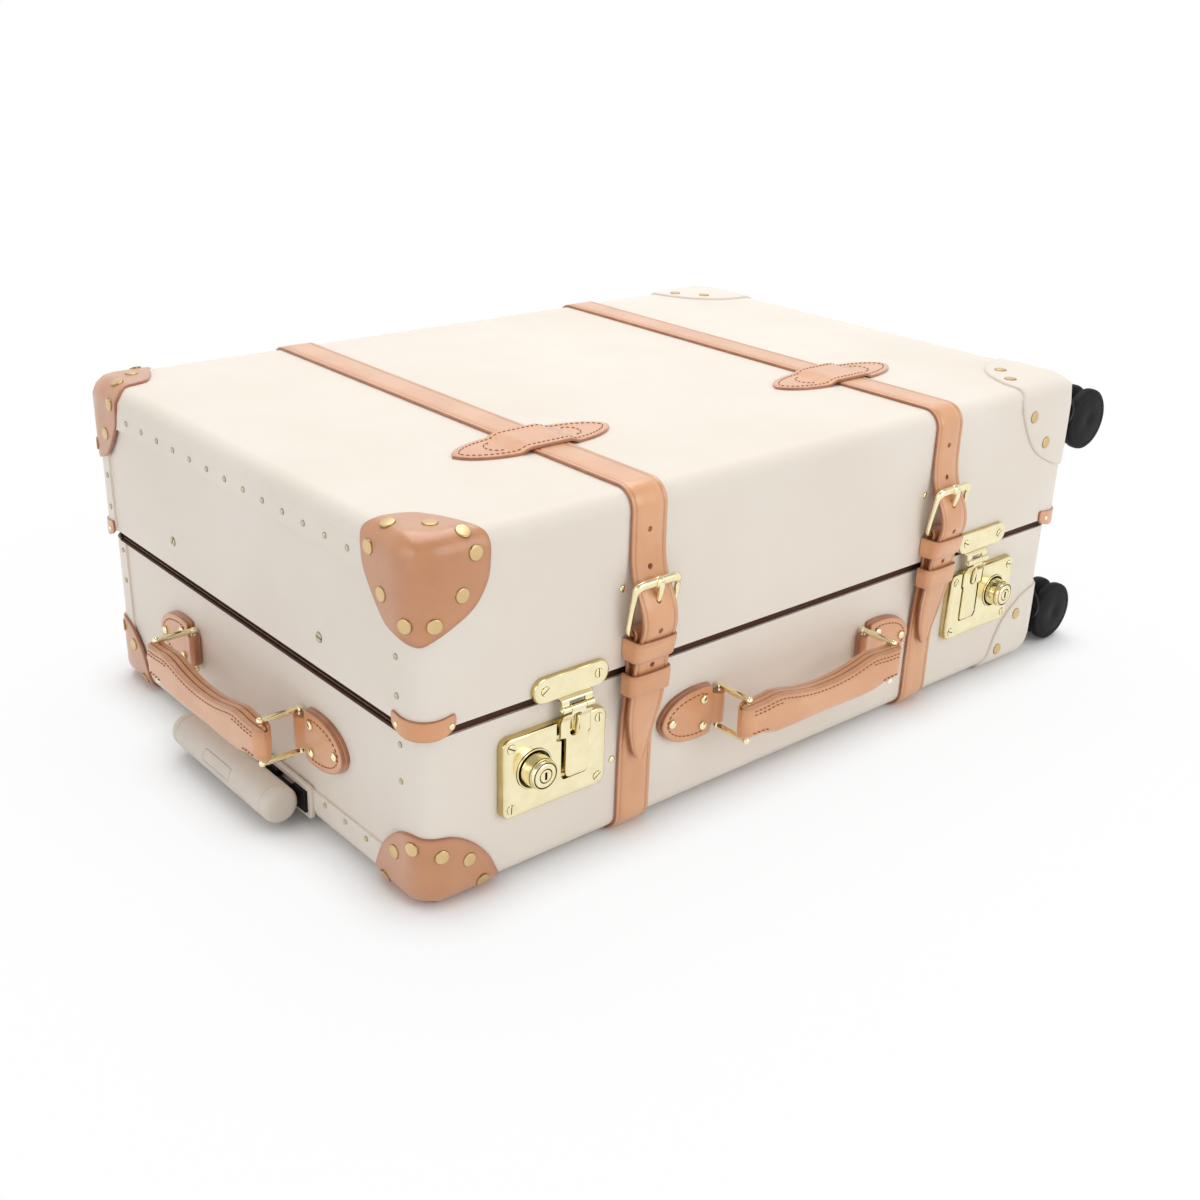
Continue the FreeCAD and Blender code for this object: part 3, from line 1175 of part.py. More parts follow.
def button_block(extra, deep):
    """A block round the button, tilted up from the outward direction."""
    long = size_of("button_long") + 2 * extra
    wide = size_of("button_wide") + 2 * extra
    block = Part.makeBox(20, long, wide, Vector(-GRIP_RADIUS + deep - 20, -long / 2, -wide / 2))
    block.rotate(Vector(), ACROSS_Y, BUTTON_TILT)
    block.translate(GRIP_AXIS)
    return block


grip_pocket = feature("grip_pocket", [button_block(size_of("button_gap"), BUTTON_DEEP + BUTTON_TRAVEL + 0.5)])
button_shape = Part.makeCylinder(GRIP_RADIUS, size_of("2 * trolley_half"),
                                 GRIP_AXIS - Vector(0, size_of("trolley_half"), 0), ACROSS_Y)
node("trolley_button", feature("trolley_button", [button_shape.common(button_block(0, BUTTON_DEEP))]))
node("trolley_grip", cut("trolley_grip", grip_ends, grip_pocket))

bezel_plate = rounded_block("bezel_plate", "bezel_high", "bezel_wide", "bezel_thick", "4",
                            (WALL_OUT, "trolley_y", "trolley_z - 0.6"), "1", True, FACING_HANDLE_END)
bezel_room = box("bezel_room", ("12", "bezel_wide - 8", "bezel_high - 8"),
                 (WALL_OUT + " - 8", "trolley_y - bezel_wide / 2 + 4",
                  "trolley_z - 0.6 - bezel_high / 2 + 4"))
node("trolley_bezel", cut("trolley_bezel", bezel_plate, bezel_room))
cradle_block = box("cradle_block", ("4.4", "bezel_wide - 9", "bezel_high - 9"),
                   (WALL_OUT + " - 4.4", "trolley_y - bezel_wide / 2 + 4.5",
                    "trolley_z - 0.6 - bezel_high / 2 + 4.5"))
cradle_seat = rod("cradle_seat", "trolley_radius + 0.5", "bezel_wide + 20",
                  ("grip_x", "trolley_y - bezel_wide / 2 - 10", "trolley_z"), ALONG_Y)
cradle_tools = fuse("cradle_tools", [cradle_seat] + tube_holes)
node("trolley_cradle", cut("trolley_cradle", cradle_block, cradle_tools))
FERRULE_START = size_of(WALL_OUT) - 3.2


def ferrules():
    """Black ends that carry the grip on the inner tubes."""
    shapes = []
    wide = size_of("tube_wide - 4 * (tube_wall + tube_gap)")
    high = size_of("tube_high - 4 * (tube_wall + tube_gap)")
    bar = Part.makeCylinder(GRIP_RADIUS, size_of("2 * trolley_half"),
                            GRIP_AXIS - Vector(0, size_of("trolley_half"), 0), ACROSS_Y)
    for side in (-1, 1):
        middle = size_of("trolley_y") + side * size_of("tube_y")
        block = Part.makeBox(FERRULE_START - GRIP_AXIS.x, wide, high,
                             Vector(GRIP_AXIS.x, middle - wide / 2, GRIP_AXIS.z - high / 2))
        shapes.append(block.cut(bar))
    return shapes


node("trolley_ferrules", feature("trolley_ferrules", ferrules()))

# Casters: a round seat on each cap, a fork that swivels on it and a pair of discs on one axle.


def caster_seat(face, side_y, pivot_z):
    return Part.makeCylinder(15.0, 2.6, Vector(face, side_y * size_of("caster_y"), pivot_z), ACROSS_X)


FORK_GAP = 0.3
FORK_THICK = 7.0


def caster_fork(face, side_y, pivot_z):
    """The swivelling stem between the two discs, with the axle."""
    middle = side_y * size_of("caster_y")
    start = face + 2.6 + FORK_GAP
    axle_x = face + size_of("caster_reach")
    axle_z = pivot_z - size_of("caster_trail")
    half = FORK_THICK / 2
    collar = Part.makeCylinder(9.0, 1.4, Vector(start, middle, pivot_z), ACROSS_X)
    side = [Vector(start, middle - half, pivot_z + 8), Vector(start, middle - half, pivot_z - 9),
            Vector(axle_x - 6, middle - half, axle_z - 5), Vector(axle_x + 6, middle - half, axle_z - 2),
            Vector(axle_x + 6, middle - half, axle_z + 6), Vector(start + 10, middle - half, pivot_z + 8)]
    stem = prism(side, Vector(0, FORK_THICK, 0))
    reach = size_of("wheel_split / 2 + wheel_wide") - 0.4
    axle_start = Vector(axle_x, middle - reach, axle_z)
    axle = Part.makeCylinder(size_of("axle_radius"), 2 * reach, axle_start, ACROSS_Y)
    return collar.fuse(stem).fuse(axle)


def caster_wheel(face, side_y, pivot_z):
    """Two discs with rounded rims and a shallow dish, on the axle."""
    middle = side_y * size_of("caster_y")
    axle_x = face + size_of("caster_reach")
    axle_z = pivot_z - size_of("caster_trail")
    shapes = []
    for side in (-1, 1):
        near = middle + side * size_of("wheel_split / 2")
        start = near if side > 0 else near - size_of("wheel_wide")
        hub = Vector(axle_x, start, axle_z)
        disc = Part.makeCylinder(size_of("wheel_radius"), size_of("wheel_wide"), hub, ACROSS_Y)
        rims_of = [edge for edge in disc.Edges if len(edge.Vertexes) == 1]
        disc = disc.makeFillet(2.0, rims_of)
        bore = Part.makeCylinder(size_of("axle_radius") + 0.1, size_of("wheel_wide"), hub, ACROSS_Y)
        shapes.append(disc.cut(bore))
    return shapes


CASTERS = [("lower_front", BX + CAP, -1, size_of("caster_low_z")),
           ("lower_back", BX + CAP, 1, size_of("caster_low_z")),
           ("upper_front", LX + CAP, -1, size_of("caster_high_z")),
           ("upper_back", LX + CAP, 1, size_of("caster_high_z"))]
node("base_caster_seats", feature("base_caster_seats", [caster_seat(*spec[1:]) for spec in CASTERS[:2]]))
node("lid_caster_seats", feature("lid_caster_seats", [caster_seat(*spec[1:]) for spec in CASTERS[2:]]))
for label, face, side_y, pivot_z in CASTERS:
    node("fork_" + label, feature("fork_" + label, [caster_fork(face, side_y, pivot_z)]))
    node("wheel_" + label, feature("wheel_" + label, caster_wheel(face, side_y, pivot_z)))

doc.recompute()
os.makedirs("parts", exist_ok=True)
for name, item in nodes.items():
    if "Invalid" in item.State or "Error" in item.State:
        raise RuntimeError("%s did not build: %s" % (name, item.State))
    if item.Shape.isNull() or not item.Shape.isValid():
        raise RuntimeError("%s has no valid shape" % name)
    item.Shape.exportStep("parts/%s.step" % name)
    solids = item.Shape.Solids
    print("%-24s solids %3d volume %10.1f mm3" % (name, len(solids), sum(solid.Volume for solid in solids)))
print("pieces", len(nodes))
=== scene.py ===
import bisect
import functools
import json
import math

import bmesh
import bpy
import numpy as np
from bpy.props import FloatProperty, FloatVectorProperty, PointerProperty
from mathutils import Matrix, Vector


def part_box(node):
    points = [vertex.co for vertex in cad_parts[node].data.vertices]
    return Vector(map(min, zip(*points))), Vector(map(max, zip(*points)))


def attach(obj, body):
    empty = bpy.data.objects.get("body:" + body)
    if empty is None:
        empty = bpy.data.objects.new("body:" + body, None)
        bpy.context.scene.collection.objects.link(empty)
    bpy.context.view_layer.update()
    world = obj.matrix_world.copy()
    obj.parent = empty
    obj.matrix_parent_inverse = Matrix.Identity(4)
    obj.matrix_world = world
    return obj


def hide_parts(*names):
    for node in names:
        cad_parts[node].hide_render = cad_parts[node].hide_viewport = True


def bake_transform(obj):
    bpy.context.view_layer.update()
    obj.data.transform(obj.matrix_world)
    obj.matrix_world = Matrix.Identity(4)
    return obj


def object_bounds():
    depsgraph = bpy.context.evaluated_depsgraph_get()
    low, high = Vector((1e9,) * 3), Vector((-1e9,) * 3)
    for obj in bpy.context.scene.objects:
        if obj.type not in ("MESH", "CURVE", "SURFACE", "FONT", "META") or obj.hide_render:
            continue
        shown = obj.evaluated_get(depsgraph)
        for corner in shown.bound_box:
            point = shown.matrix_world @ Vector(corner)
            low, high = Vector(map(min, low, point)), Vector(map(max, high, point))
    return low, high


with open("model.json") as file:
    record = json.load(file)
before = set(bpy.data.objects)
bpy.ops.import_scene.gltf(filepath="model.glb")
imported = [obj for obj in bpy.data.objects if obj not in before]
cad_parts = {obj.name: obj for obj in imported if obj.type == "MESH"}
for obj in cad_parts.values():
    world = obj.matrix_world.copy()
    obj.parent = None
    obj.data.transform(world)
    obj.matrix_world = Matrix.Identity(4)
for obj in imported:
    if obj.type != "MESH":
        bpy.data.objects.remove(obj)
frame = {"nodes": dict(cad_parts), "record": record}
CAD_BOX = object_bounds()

bl_info = {
    "name": "Fibre suitcase",
    "version": (1, 0, 0),
    "blender": (4, 5, 0),
    "location": "View3D > Sidebar > Suitcase",
    "description": "Builds the looks of a strapped fibre suitcase round its CAD frame",
    "category": "Object",
}

# Lengths in the code are in millimetres, and meshes are made in metres.
MM = 0.001
ALONG_X = Vector((1, 0, 0))
UPWARDS = Vector((0, 0, 1))
TO_FRONT = Vector((0, -1, 0))
SIDES = ((-1, "left"), (1, "right"))


def span(node):
    low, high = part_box(node)
    return Vector(low) / MM, Vector(high) / MM


def joint_place(name):
    for joint in frame["record"]["behaviour"]["joints"]:
        if joint["name"] == name:
            return Vector(joint["pos_m"]) / MM
    raise KeyError(name)


LX, LY, LID_TOP = span("lid_shell")[1]
BASE_LOW, BASE_HIGH = span("base_shell")
BX, BY = BASE_HIGH.x, BASE_HIGH.y
LID_ROUND = 18.0
BASE_ROUND = 16.0
EDGE_ROUND = 12.0
LID_EDGE = LID_TOP - EDGE_ROUND
CASE_MIDDLE = np.array((0.0, 0.0, LID_TOP / 2))
# A direction counts as facing a wall when its share across that wall is more than this.
FACING = 0.9


def linear(red, green, blue):
    """A screen colour from 0 to 255 as the linear colour that a shader takes."""
    parts = []
    for value in (red, green, blue):
        share = value / 255
        parts.append(share / 12.92 if share <= 0.04045 else ((share + 0.055) / 1.055) ** 2.4)
    return tuple(parts)


def length(name, description, default):
    return FloatProperty(name=name, description=description, default=default * MM, min=0.0, unit='LENGTH')


def colour(name, description, default):
    return FloatVectorProperty(name=name, description=description, default=linear(*default), subtype='COLOR',
                               size=3, min=0.0, max=1.0)


class SuitcaseSizes(bpy.types.PropertyGroup):
    strap_thick: length("Strap thickness", "Thickness of the leather straps", 2.2)
    crease_inset: length("Crease inset", "Distance of the pressed line from a strap's edge", 3.2)
    cap_thick: length("Cap thickness", "Thickness of the corner caps", 2.0)
    stitch_long: length("Stitch length", "Length of one stitch", 2.5)
    stitch_gap: length("Stitch gap", "Gap between two stitches", 1.3)
    stitch_round: length("Stitch radius", "Radius of the thread", 0.42)
    keeper_long: length("Keeper length", "Length of the leather leaf over each strap", 126.0)
    keeper_wide: length("Keeper width", "Width of the leather leaf over each strap", 40.0)
    plate_thick: length("Handle plate thickness", "Thickness of the two layers of a handle plate", 5.6)
    grip_thick: length("Grip thickness", "Thickness of a carry grip", 12.6)
    hasp_thick: length("Hasp plate thickness", "Thickness of the hasp plates on the lid", 3.4)


class SuitcaseColours(bpy.types.PropertyGroup):
    fibre: colour("Fibre", "Ivory of the shells and their corner caps", (240, 231, 219))
    fibre_shade: colour("Fibre shade", "Darker clouds in the ivory", (234, 224, 211))
    leather: colour("Leather", "Natural tan leather", (229, 168, 118))
    leather_deep: colour("Leather deep", "Darker clouds in the leather", (217, 150, 99))
    leather_edge: colour("Leather edge", "Burnished cut edges of the leather", (158, 92, 54))
    # Painted shade in the holes of the straps and the groove along the grips; the rim also takes it for its
    # darker clouds.
    leather_dark: colour("Leather dark", "Painted shade in the holes and creases of the leather, and darker clouds of the rim", (78, 44, 28))
    cap: colour("Cap leather", "Leather of the corner caps", (206, 143, 97))
    cap_deep: colour("Cap leather deep", "Darker clouds in the corner caps", (192, 127, 81))
    thread: colour("Thread", "Waxed thread of the stitching", (142, 84, 52))
    brass: colour("Brass", "Pale polished brass", (250, 240, 200))
    # Smears of handled brass, painted shade on the sides and bevels of the plates and heads, and clouds on
    # the coated rivets.
    brass_deep: colour("Brass deep", "Handled brass, painted shade on plate sides, and clouds on coated rivets", (204, 184, 126))
    # Painted shade in the grooves, slots, pockets and screw seats of the brass.
    brass_dark: colour("Brass dark", "Painted shade in the grooves and recesses of the brass", (84, 68, 34))
    nickel: colour("Nickel", "Worn heads of the rivets and end screws", (200, 194, 168))
    nickel_deep: colour("Nickel deep", "Edges of the worn heads", (112, 104, 78))
    tack: colour("Tack", "Heads of the tacks", (226, 195, 146))
    # Worn edges of the tacks and coated rivets, with painted shade on their sides.
    tack_deep: colour("Tack deep", "Edges of the tacks and coated rivets, worn and with painted shade", (150, 122, 76))
    rim: colour("Rim", "Dark band between the shells", (74, 50, 43))
    lining: colour("Lining", "Cloth inside the case", (216, 199, 176))
    lining_deep: colour("Lining deep", "Darker clouds in the lining", (207, 189, 165))
    plastic: colour("Ivory plastic", "Trolley handle and its rim", (214, 204, 192))
    black: colour("Black plastic", "Caster stems and the cradle", (30, 29, 29))
    rubber: colour("Rubber", "Wheels", (24, 24, 25))
    tube: colour("Tube", "Trolley tubes", (176, 178, 182))
    floor: colour("Floor", "Studio floor", (244, 244, 245))


def size(name):
    return getattr(bpy.context.scene.suitcase_sizes, name) / MM


def tint(name):
    return (*getattr(bpy.context.scene.suitcase_colours, name), 1.0)


# Shader nodes

FLOAT = "NodeSocketFloat"
COLOUR = "NodeSocketColor"
WHITE = (1, 1, 1, 1)


def add(tree, kind, feeds=(), **settings):
    """A node with its settings, and its inputs set to a value or linked to a socket."""
    node = tree.nodes.new(kind)
    for name, value in settings.items():
        setattr(node, name, value)
    for key, value in feeds:
        if isinstance(value, bpy.types.NodeSocket):
            tree.links.new(value, node.inputs[key])
        else:
            node.inputs[key].default_value = value
    return node


def math_node(tree, operation, *values):
    return add(tree, "ShaderNodeMath", list(enumerate(values)), operation=operation).outputs[0]


def vector_node(tree, operation, *feeds):
    return add(tree, "ShaderNodeVectorMath", feeds, operation=operation).outputs[0]


def ramp(tree, value, low, high):
    """The value spread from low..high to 0..1."""
    feeds = [("Value", value), ("From Min", low), ("From Max", high)]
    return add(tree, "ShaderNodeMapRange", feeds).outputs[0]


def clamped(tree, value):
    return add(tree, "ShaderNodeClamp", [("Value", value)]).outputs[0]


def blended(tree, share, first, second):
    return add(tree, "ShaderNodeMix", [(0, share), (6, first), (7, second)], data_type='RGBA').outputs[2]


def object_place(tree):
    return add(tree, "ShaderNodeTexCoord").outputs["Object"]


def noise(tree, place, scale, detail, rough=0.5):
    feeds = [("Vector", place), ("Scale", scale), ("Detail", detail), ("Roughness", rough)]
    return add(tree, "ShaderNodeTexNoise", feeds).outputs


def new_group(name, inputs, outputs):
    """An empty node group with named sockets, and the sockets on its inside."""
    tree = bpy.data.node_groups.new(name, "ShaderNodeTree")
    for label, kind, default in inputs:
        socket = tree.interface.new_socket(label, in_out='INPUT', socket_type=kind)
        socket.default_value = default
    for label, kind in outputs:
        tree.interface.new_socket(label, in_out='OUTPUT', socket_type=kind)
    return tree, tree.nodes.new("NodeGroupInput").outputs, tree.nodes.new("NodeGroupOutput").inputs


def use_group(tree, group, feeds=()):
    return add(tree, "ShaderNodeGroup", feeds, node_tree=group)


@functools.cache
def clouds_group():
    """Two colours in soft clouds with a finer speckle over them."""
    tree, entry, out = new_group(
        "Clouds", [("Light", COLOUR, WHITE), ("Dark", COLOUR, (0, 0, 0, 1)), ("Scale", FLOAT, 14.0),
                   ("Speckle", FLOAT, 700.0), ("Speckle Amount", FLOAT, 0.25)],
        [("Color", COLOUR), ("Mask", FLOAT)])
    place = object_place(tree)
    broad = noise(tree, place, entry["Scale"], 4.0, 0.55)[0]
    fine = noise(tree, place, entry["Speckle"], 2.0)[0]
    dots = math_node(tree, 'MULTIPLY', math_node(tree, 'SUBTRACT', fine, 0.5), entry["Speckle Amount"])
    mask = clamped(tree, math_node(tree, 'ADD', ramp(tree, broad, 0.3, 0.7), dots))
    tree.links.new(blended(tree, mask, entry["Light"], entry["Dark"]), out["Color"])
    tree.links.new(mask, out["Mask"])
    return tree


@functools.cache
def grain_group():
    """Height of a fine pebbled or fibrous grain."""
    tree, entry, out = new_group("Grain", [("Scale", FLOAT, 900.0), ("Pores", FLOAT, 0.5)],
                                 [("Height", FLOAT)])
    place = object_place(tree)
    warp = noise(tree, place, 160.0, 2.0)[1]
    bent = vector_node(tree, 'ADD', (0, place), (1, vector_node(tree, 'SCALE', (0, warp), (3, 0.0016))))
    feeds = [("Vector", bent), ("Scale", entry["Scale"]), ("Randomness", 1.0)]
    cells = add(tree, "ShaderNodeTexVoronoi", feeds).outputs[0]
    pores = math_node(tree, 'MULTIPLY', cells, entry["Pores"])
    fibre = noise(tree, bent, entry["Scale"], 3.0, 0.6)[0]
    tree.links.new(math_node(tree, 'SUBTRACT', fibre, pores), out["Height"])
    return tree


@functools.cache
def scratch_group():
    """Masks of hairline scratches and of smears on polished metal or smooth plastic."""
    tree, entry, out = new_group("Scratches", [("Scale", FLOAT, 60.0), ("Stretch", FLOAT, 14.0)],
                                 [("Lines", FLOAT), ("Smears", FLOAT)])
    place = object_place(tree)
    feeds = [(0, 1.0), (1, entry["Stretch"]), (2, entry["Stretch"])]
    stretch = add(tree, "ShaderNodeCombineXYZ", feeds).outputs[0]
    drawn = vector_node(tree, 'MULTIPLY', (0, place), (1, stretch))
    lines = noise(tree, drawn, entry["Scale"], 5.0, 0.7)[0]
    smears = noise(tree, place, entry["Scale"], 2.0)[0]
    tree.links.new(ramp(tree, lines, 0.35, 0.75), out["Lines"])
    tree.links.new(ramp(tree, smears, 0.3, 0.7), out["Smears"])
    return tree


@functools.cache
def wear_and_shade_group():
    """Edges marked on the mesh, broken up by noise, and painted shade in grooves, holes, slots and pockets
    where the mark is above one.
    """
    tree, entry, out = new_group("Worn edges and painted shade", [("Strength", FLOAT, 1.0)],
                                 [("Mask", FLOAT), ("Painted Shade", FLOAT)])
    marked = add(tree, "ShaderNodeAttribute", attribute_name="wear_and_shade").outputs["Fac"]
    patchy = math_node(tree, 'ADD', noise(tree, object_place(tree), 90.0, 3.0)[0], 0.45)
    mask = math_node(tree, 'MULTIPLY', math_node(tree, 'MULTIPLY', marked, patchy), entry["Strength"])
    tree.links.new(clamped(tree, mask), out["Mask"])
    # Marks above one paint shade: dark in grooves, holes, slots and pockets where shade falls.
    tree.links.new(ramp(tree, marked, 1.1, 1.9), out["Painted Shade"])
    return tree


def new_material(name):
    """A material with its tree and its Principled shader."""
    material = bpy.data.materials.new(name)
    material.use_nodes = True
    return material, material.node_tree, material.node_tree.nodes["Principled BSDF"]


def bump(tree, shader, height, strength, distance):
    feeds = [("Height", height), ("Strength", strength), ("Distance", distance)]
    tree.links.new(add(tree, "ShaderNodeBump", feeds).outputs[0], shader.inputs["Normal"])


def roughness(tree, shader, mask, low, high):
    feeds = [("Value", mask), ("To Min", low), ("To Max", high)]
    tree.links.new(add(tree, "ShaderNodeMapRange", feeds).outputs[0], shader.inputs["Roughness"])


def clouded(name, light, dark, scales, rough=None, edge=None, grain=None, values=None):
    """A material of two colours in clouds, with its tree and shader.

    scales: of the clouds and of the speckle, and the amount of speckle
    rough: least and most roughness
    edge: strength of worn edges, their colour and the colour of the painted shade in recesses
    grain: scale, pores, strength and depth
    values: what is set on the shader itself
    """
    material, tree, shader = new_material(name)
    scale, speckle, amount = scales
    clouds = use_group(tree, clouds_group(), [("Light", tint(light)), ("Dark", tint(dark)), ("Scale", scale),
                                              ("Speckle", speckle), ("Speckle Amount", amount)])
    clouds.name = "clouds"
    mixed = clouds.outputs["Color"]
    if edge:
        worn = use_group(tree, wear_and_shade_group(), [("Strength", edge[0])])
        # The mask gives marked edges their edge colour; the second colour is painted shade where the mark is
        # above one.
        for output, shade in zip(("Mask", "Painted Shade"), edge[1:]):
            mixed = blended(tree, worn.outputs[output], mixed, tint(shade))
    tree.links.new(mixed, shader.inputs["Base Color"])
    if rough:
        roughness(tree, shader, clouds.outputs["Mask"], *rough)
    if grain:
        height = use_group(tree, grain_group(), [("Scale", grain[0]), ("Pores", grain[1])]).outputs["Height"]
        bump(tree, shader, height, *grain[2:])
    for label, value in (values or {}).items():
        shader.inputs[label].default_value = value
    return material, tree, shader


def plain_material(*settings):
    return clouded(*settings)[0]


LEATHER_GLOSS = {"Coat Weight": 1.0, "Coat Roughness": 0.3, "Sheen Weight": 0.2, "Sheen Roughness": 0.42,
                 "Sheen Tint": (1.0, 0.93, 0.86, 1.0)}


def leather_material(name, light, deep):
    return plain_material(name, light, deep, (22.0, 900.0, 0.5), (0.36, 0.48),
                          (1.0, "leather_edge", "leather_dark"), (1000.0, 0.7, 0.12, 0.0006), LEATHER_GLOSS)


def dark_material(name, light, rough, grain_scale, strength):
    return plain_material(name, light, "black", (60.0, 1800.0, 0.5), rough, None,
                          (grain_scale, 0.5, strength, 0.0004), {"Specular IOR Level": 0.15})


def thread_material():
    material, tree, shader = clouded("waxed thread", "thread", "leather_edge", (300.0, 2600.0, 0.8),
                                     (0.55, 0.75))
    bump(tree, shader, tree.nodes["clouds"].outputs["Mask"], 0.3, 0.0002)
    return material


def brass_material(name, light, deep, smooth):
    material, tree, shader = new_material(name)
    marks = use_group(tree, scratch_group(), [("Scale", 90.0), ("Stretch", 9.0)])
    edges = use_group(tree, wear_and_shade_group(), [("Strength", 1.0)])
    smeared = math_node(tree, 'MULTIPLY', marks.outputs["Smears"], 0.2)
    # Marked edges take the deep colour: wear in smears, and painted shade on the sides and bevels.
    share = math_node(tree, 'MAXIMUM', smeared, edges.outputs["Mask"])
    mixed = blended(tree, share, tint(light), tint(deep))
    # Painted shade in grooves, slots, pockets and round screw seats, in the brass_dark colour.
    mixed = blended(tree, edges.outputs["Painted Shade"], mixed, tint("brass_dark"))
    tree.links.new(mixed, shader.inputs["Base Color"])
    shader.inputs["Metallic"].default_value = 1.0
    roughness(tree, shader, marks.outputs["Smears"], smooth, smooth + 0.1)
    bump(tree, shader, marks.outputs["Lines"], 0.03, 0.0002)
    return material


def lining_material():
    material, tree, shader = clouded("lining cloth", "lining", "lining_deep", (40.0, 800.0, 0.5),
                                     values={"Sheen Weight": 0.15, "Roughness": 0.85})
    place = object_place(tree)
    threads = []
    for direction in ('X', 'Y', 'Z'):
        wave = add(tree, "ShaderNodeTexWave", [("Vector", place), ("Scale", 210.0), ("Distortion", 0.6)],
                   wave_type='BANDS', bands_direction=direction)
        threads.append(wave.outputs[1])
    weave = math_node(tree, 'ADD', math_node(tree, 'ADD', threads[0], threads[1]), threads[2])
    bump(tree, shader, weave, 0.25, 0.0004)
    return material


def plastic_material():
    material, tree, shader = clouded("ivory plastic", "plastic", "fibre_shade", (12.0, 1500.0, 0.3),
                                     grain=(2200.0, 0.3, 0.05, 0.0003))
    marks = use_group(tree, scratch_group(), [("Scale", 70.0), ("Stretch", 5.0)])
    roughness(tree, shader, marks.outputs["Smears"], 0.36, 0.46)
    return material


def tube_material():
    material, tree, shader = clouded("tube metal", "tube", "plastic", (25.0, 1500.0, 0.3),
                                     values={"Metallic": 1.0})
    marks = use_group(tree, scratch_group(), [("Scale", 40.0), ("Stretch", 30.0)])
    roughness(tree, shader, marks.outputs["Lines"], 0.26, 0.4)
    bump(tree, shader, marks.outputs["Lines"], 0.06, 0.0002)
    return material


# The slot, the maker and its settings for each finish.
FINISHES = {
    "fibre": ("ivory_fibre", plain_material, "ivory fibre", "fibre", "fibre_shade", (7.0, 1200.0, 0.6),
              (0.42, 0.55), (0.5, "plastic"), (1500.0, 0.4, 0.06, 0.0005)),
    "leather": ("tan_leather", leather_material, "tan leather", "leather", "leather_deep"),
    "cap": ("tan_leather", leather_material, "cap leather", "cap", "cap_deep"),
    "thread": ("tan_leather", thread_material),
    "brass": ("pale_brass", brass_material, "pale brass", "brass", "brass_deep", 0.13),
    "worn": ("pale_brass", brass_material, "worn brass", "nickel", "nickel_deep", 0.24),
    "tack": ("pale_brass", brass_material, "tack brass", "tack", "tack_deep", 0.26),
    "rivet": ("pale_brass", plain_material, "coated rivet", "plastic", "brass_deep", (120.0, 1400.0, 0.4),
              (0.32, 0.42), (1.0, "tack_deep")),
    "rim": ("dark_rim", plain_material, "dark rim", "rim", "leather_dark", (30.0, 1200.0, 0.4), (0.6, 0.75),
            None, (1300.0, 0.6, 0.15, 0.0005), {"Specular IOR Level": 0.2}),
    "lining": ("lining_cloth", lining_material),
    "plastic": ("ivory_plastic", plastic_material),
    "black": ("black_plastic", dark_material, "black plastic", "black", (0.35, 0.5), 1800.0, 0.08),
    "rubber": ("wheel_rubber", dark_material, "wheel rubber", "rubber", (0.5, 0.68), 1200.0, 0.12),
    "tube": ("tube_metal", tube_material),
}


@functools.cache
def finish_of(name):
    maker, *settings = FINISHES[name][1:]
    return maker(*settings)


def finish_nodes(name, *nodes):
    """Gives CAD nodes that stay in view their finished material."""
    for node in nodes:
        mesh = frame["nodes"][node].data
        mesh.materials.clear()
        mesh.materials.append(finish_of(name))


# Mesh helpers


class Shape:
    """Points in millimetres, faces, and a mark at each point: up to one how worn or burnished it is, with
    painted shade on the sides of brass; above one painted shade in a recess.
    """

    def __init__(self):
        self.points = []
        self.faces = []
        self.wear_and_shade = []

    def skin(self, rings, wear_and_shade=None, looped=False):
        """Joins rings of points, each with the same number of points, in a loop or with closed ends."""
        start = len(self.points)
        wide = len(rings[0])
        for number, ring in enumerate(rings):
            self.points.extend(ring)
            self.wear_and_shade.extend(wear_and_shade[number] if wear_and_shade else [0.0] * wide)
        steps = len(rings) if looped else len(rings) - 1
        for step in range(steps):
            here = start + step * wide
            there = start + (step + 1) % len(rings) * wide
            for index in range(wide):
                after = (index + 1) % wide
                self.faces.append((here + index, here + after, there + after, there + index))
        if not looped:
            self.faces.append(tuple(range(start + wide - 1, start - 1, -1)))
            top = start + (len(rings) - 1) * wide
            self.faces.append(tuple(range(top, top + wide)))

    def join(self, other, move):
        """Adds another shape with its points moved."""
        start = len(self.points)
        self.points.extend(move(point) for point in other.points)
        self.faces.extend(tuple(start + index for index in face) for face in other.faces)
        self.wear_and_shade.extend(other.wear_and_shade)


def mesh_of(shape, name, sharp):
    mesh = bpy.data.meshes.new(name)
    mesh.from_pydata([point * MM for point in shape.points], [], shape.faces)
    mesh.attributes.new("wear_and_shade", 'FLOAT', 'POINT').data.foreach_set("value", shape.wear_and_shade)
    edit = bmesh.new()
    edit.from_mesh(mesh)
    bmesh.ops.recalc_face_normals(edit, faces=edit.faces)
    edit.to_mesh(mesh)
    edit.free()
    mesh.shade_smooth()
    mesh.set_sharp_from_angle(angle=math.radians(sharp))
    return mesh


# Angles in degrees above which an edge of a piece stays sharp.
CRISP, MOULDED, USUAL, FIRM, SOFT, ROUNDED = 30.0, 32.0, 38.0, 40.0, 50.0, 60.0


def make(shape, name, finish, body, replaced=(), sharp=USUAL):
    """One finished piece of the case, on the body that it moves with."""
    piece = bpy.data.objects.new(name, mesh_of(shape, name, sharp))
    bpy.context.scene.collection.objects.link(piece)
    piece.data.materials.append(finish_of(finish))
    if body:
        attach(piece, body)
    if replaced:
        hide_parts(*replaced)
    return piece


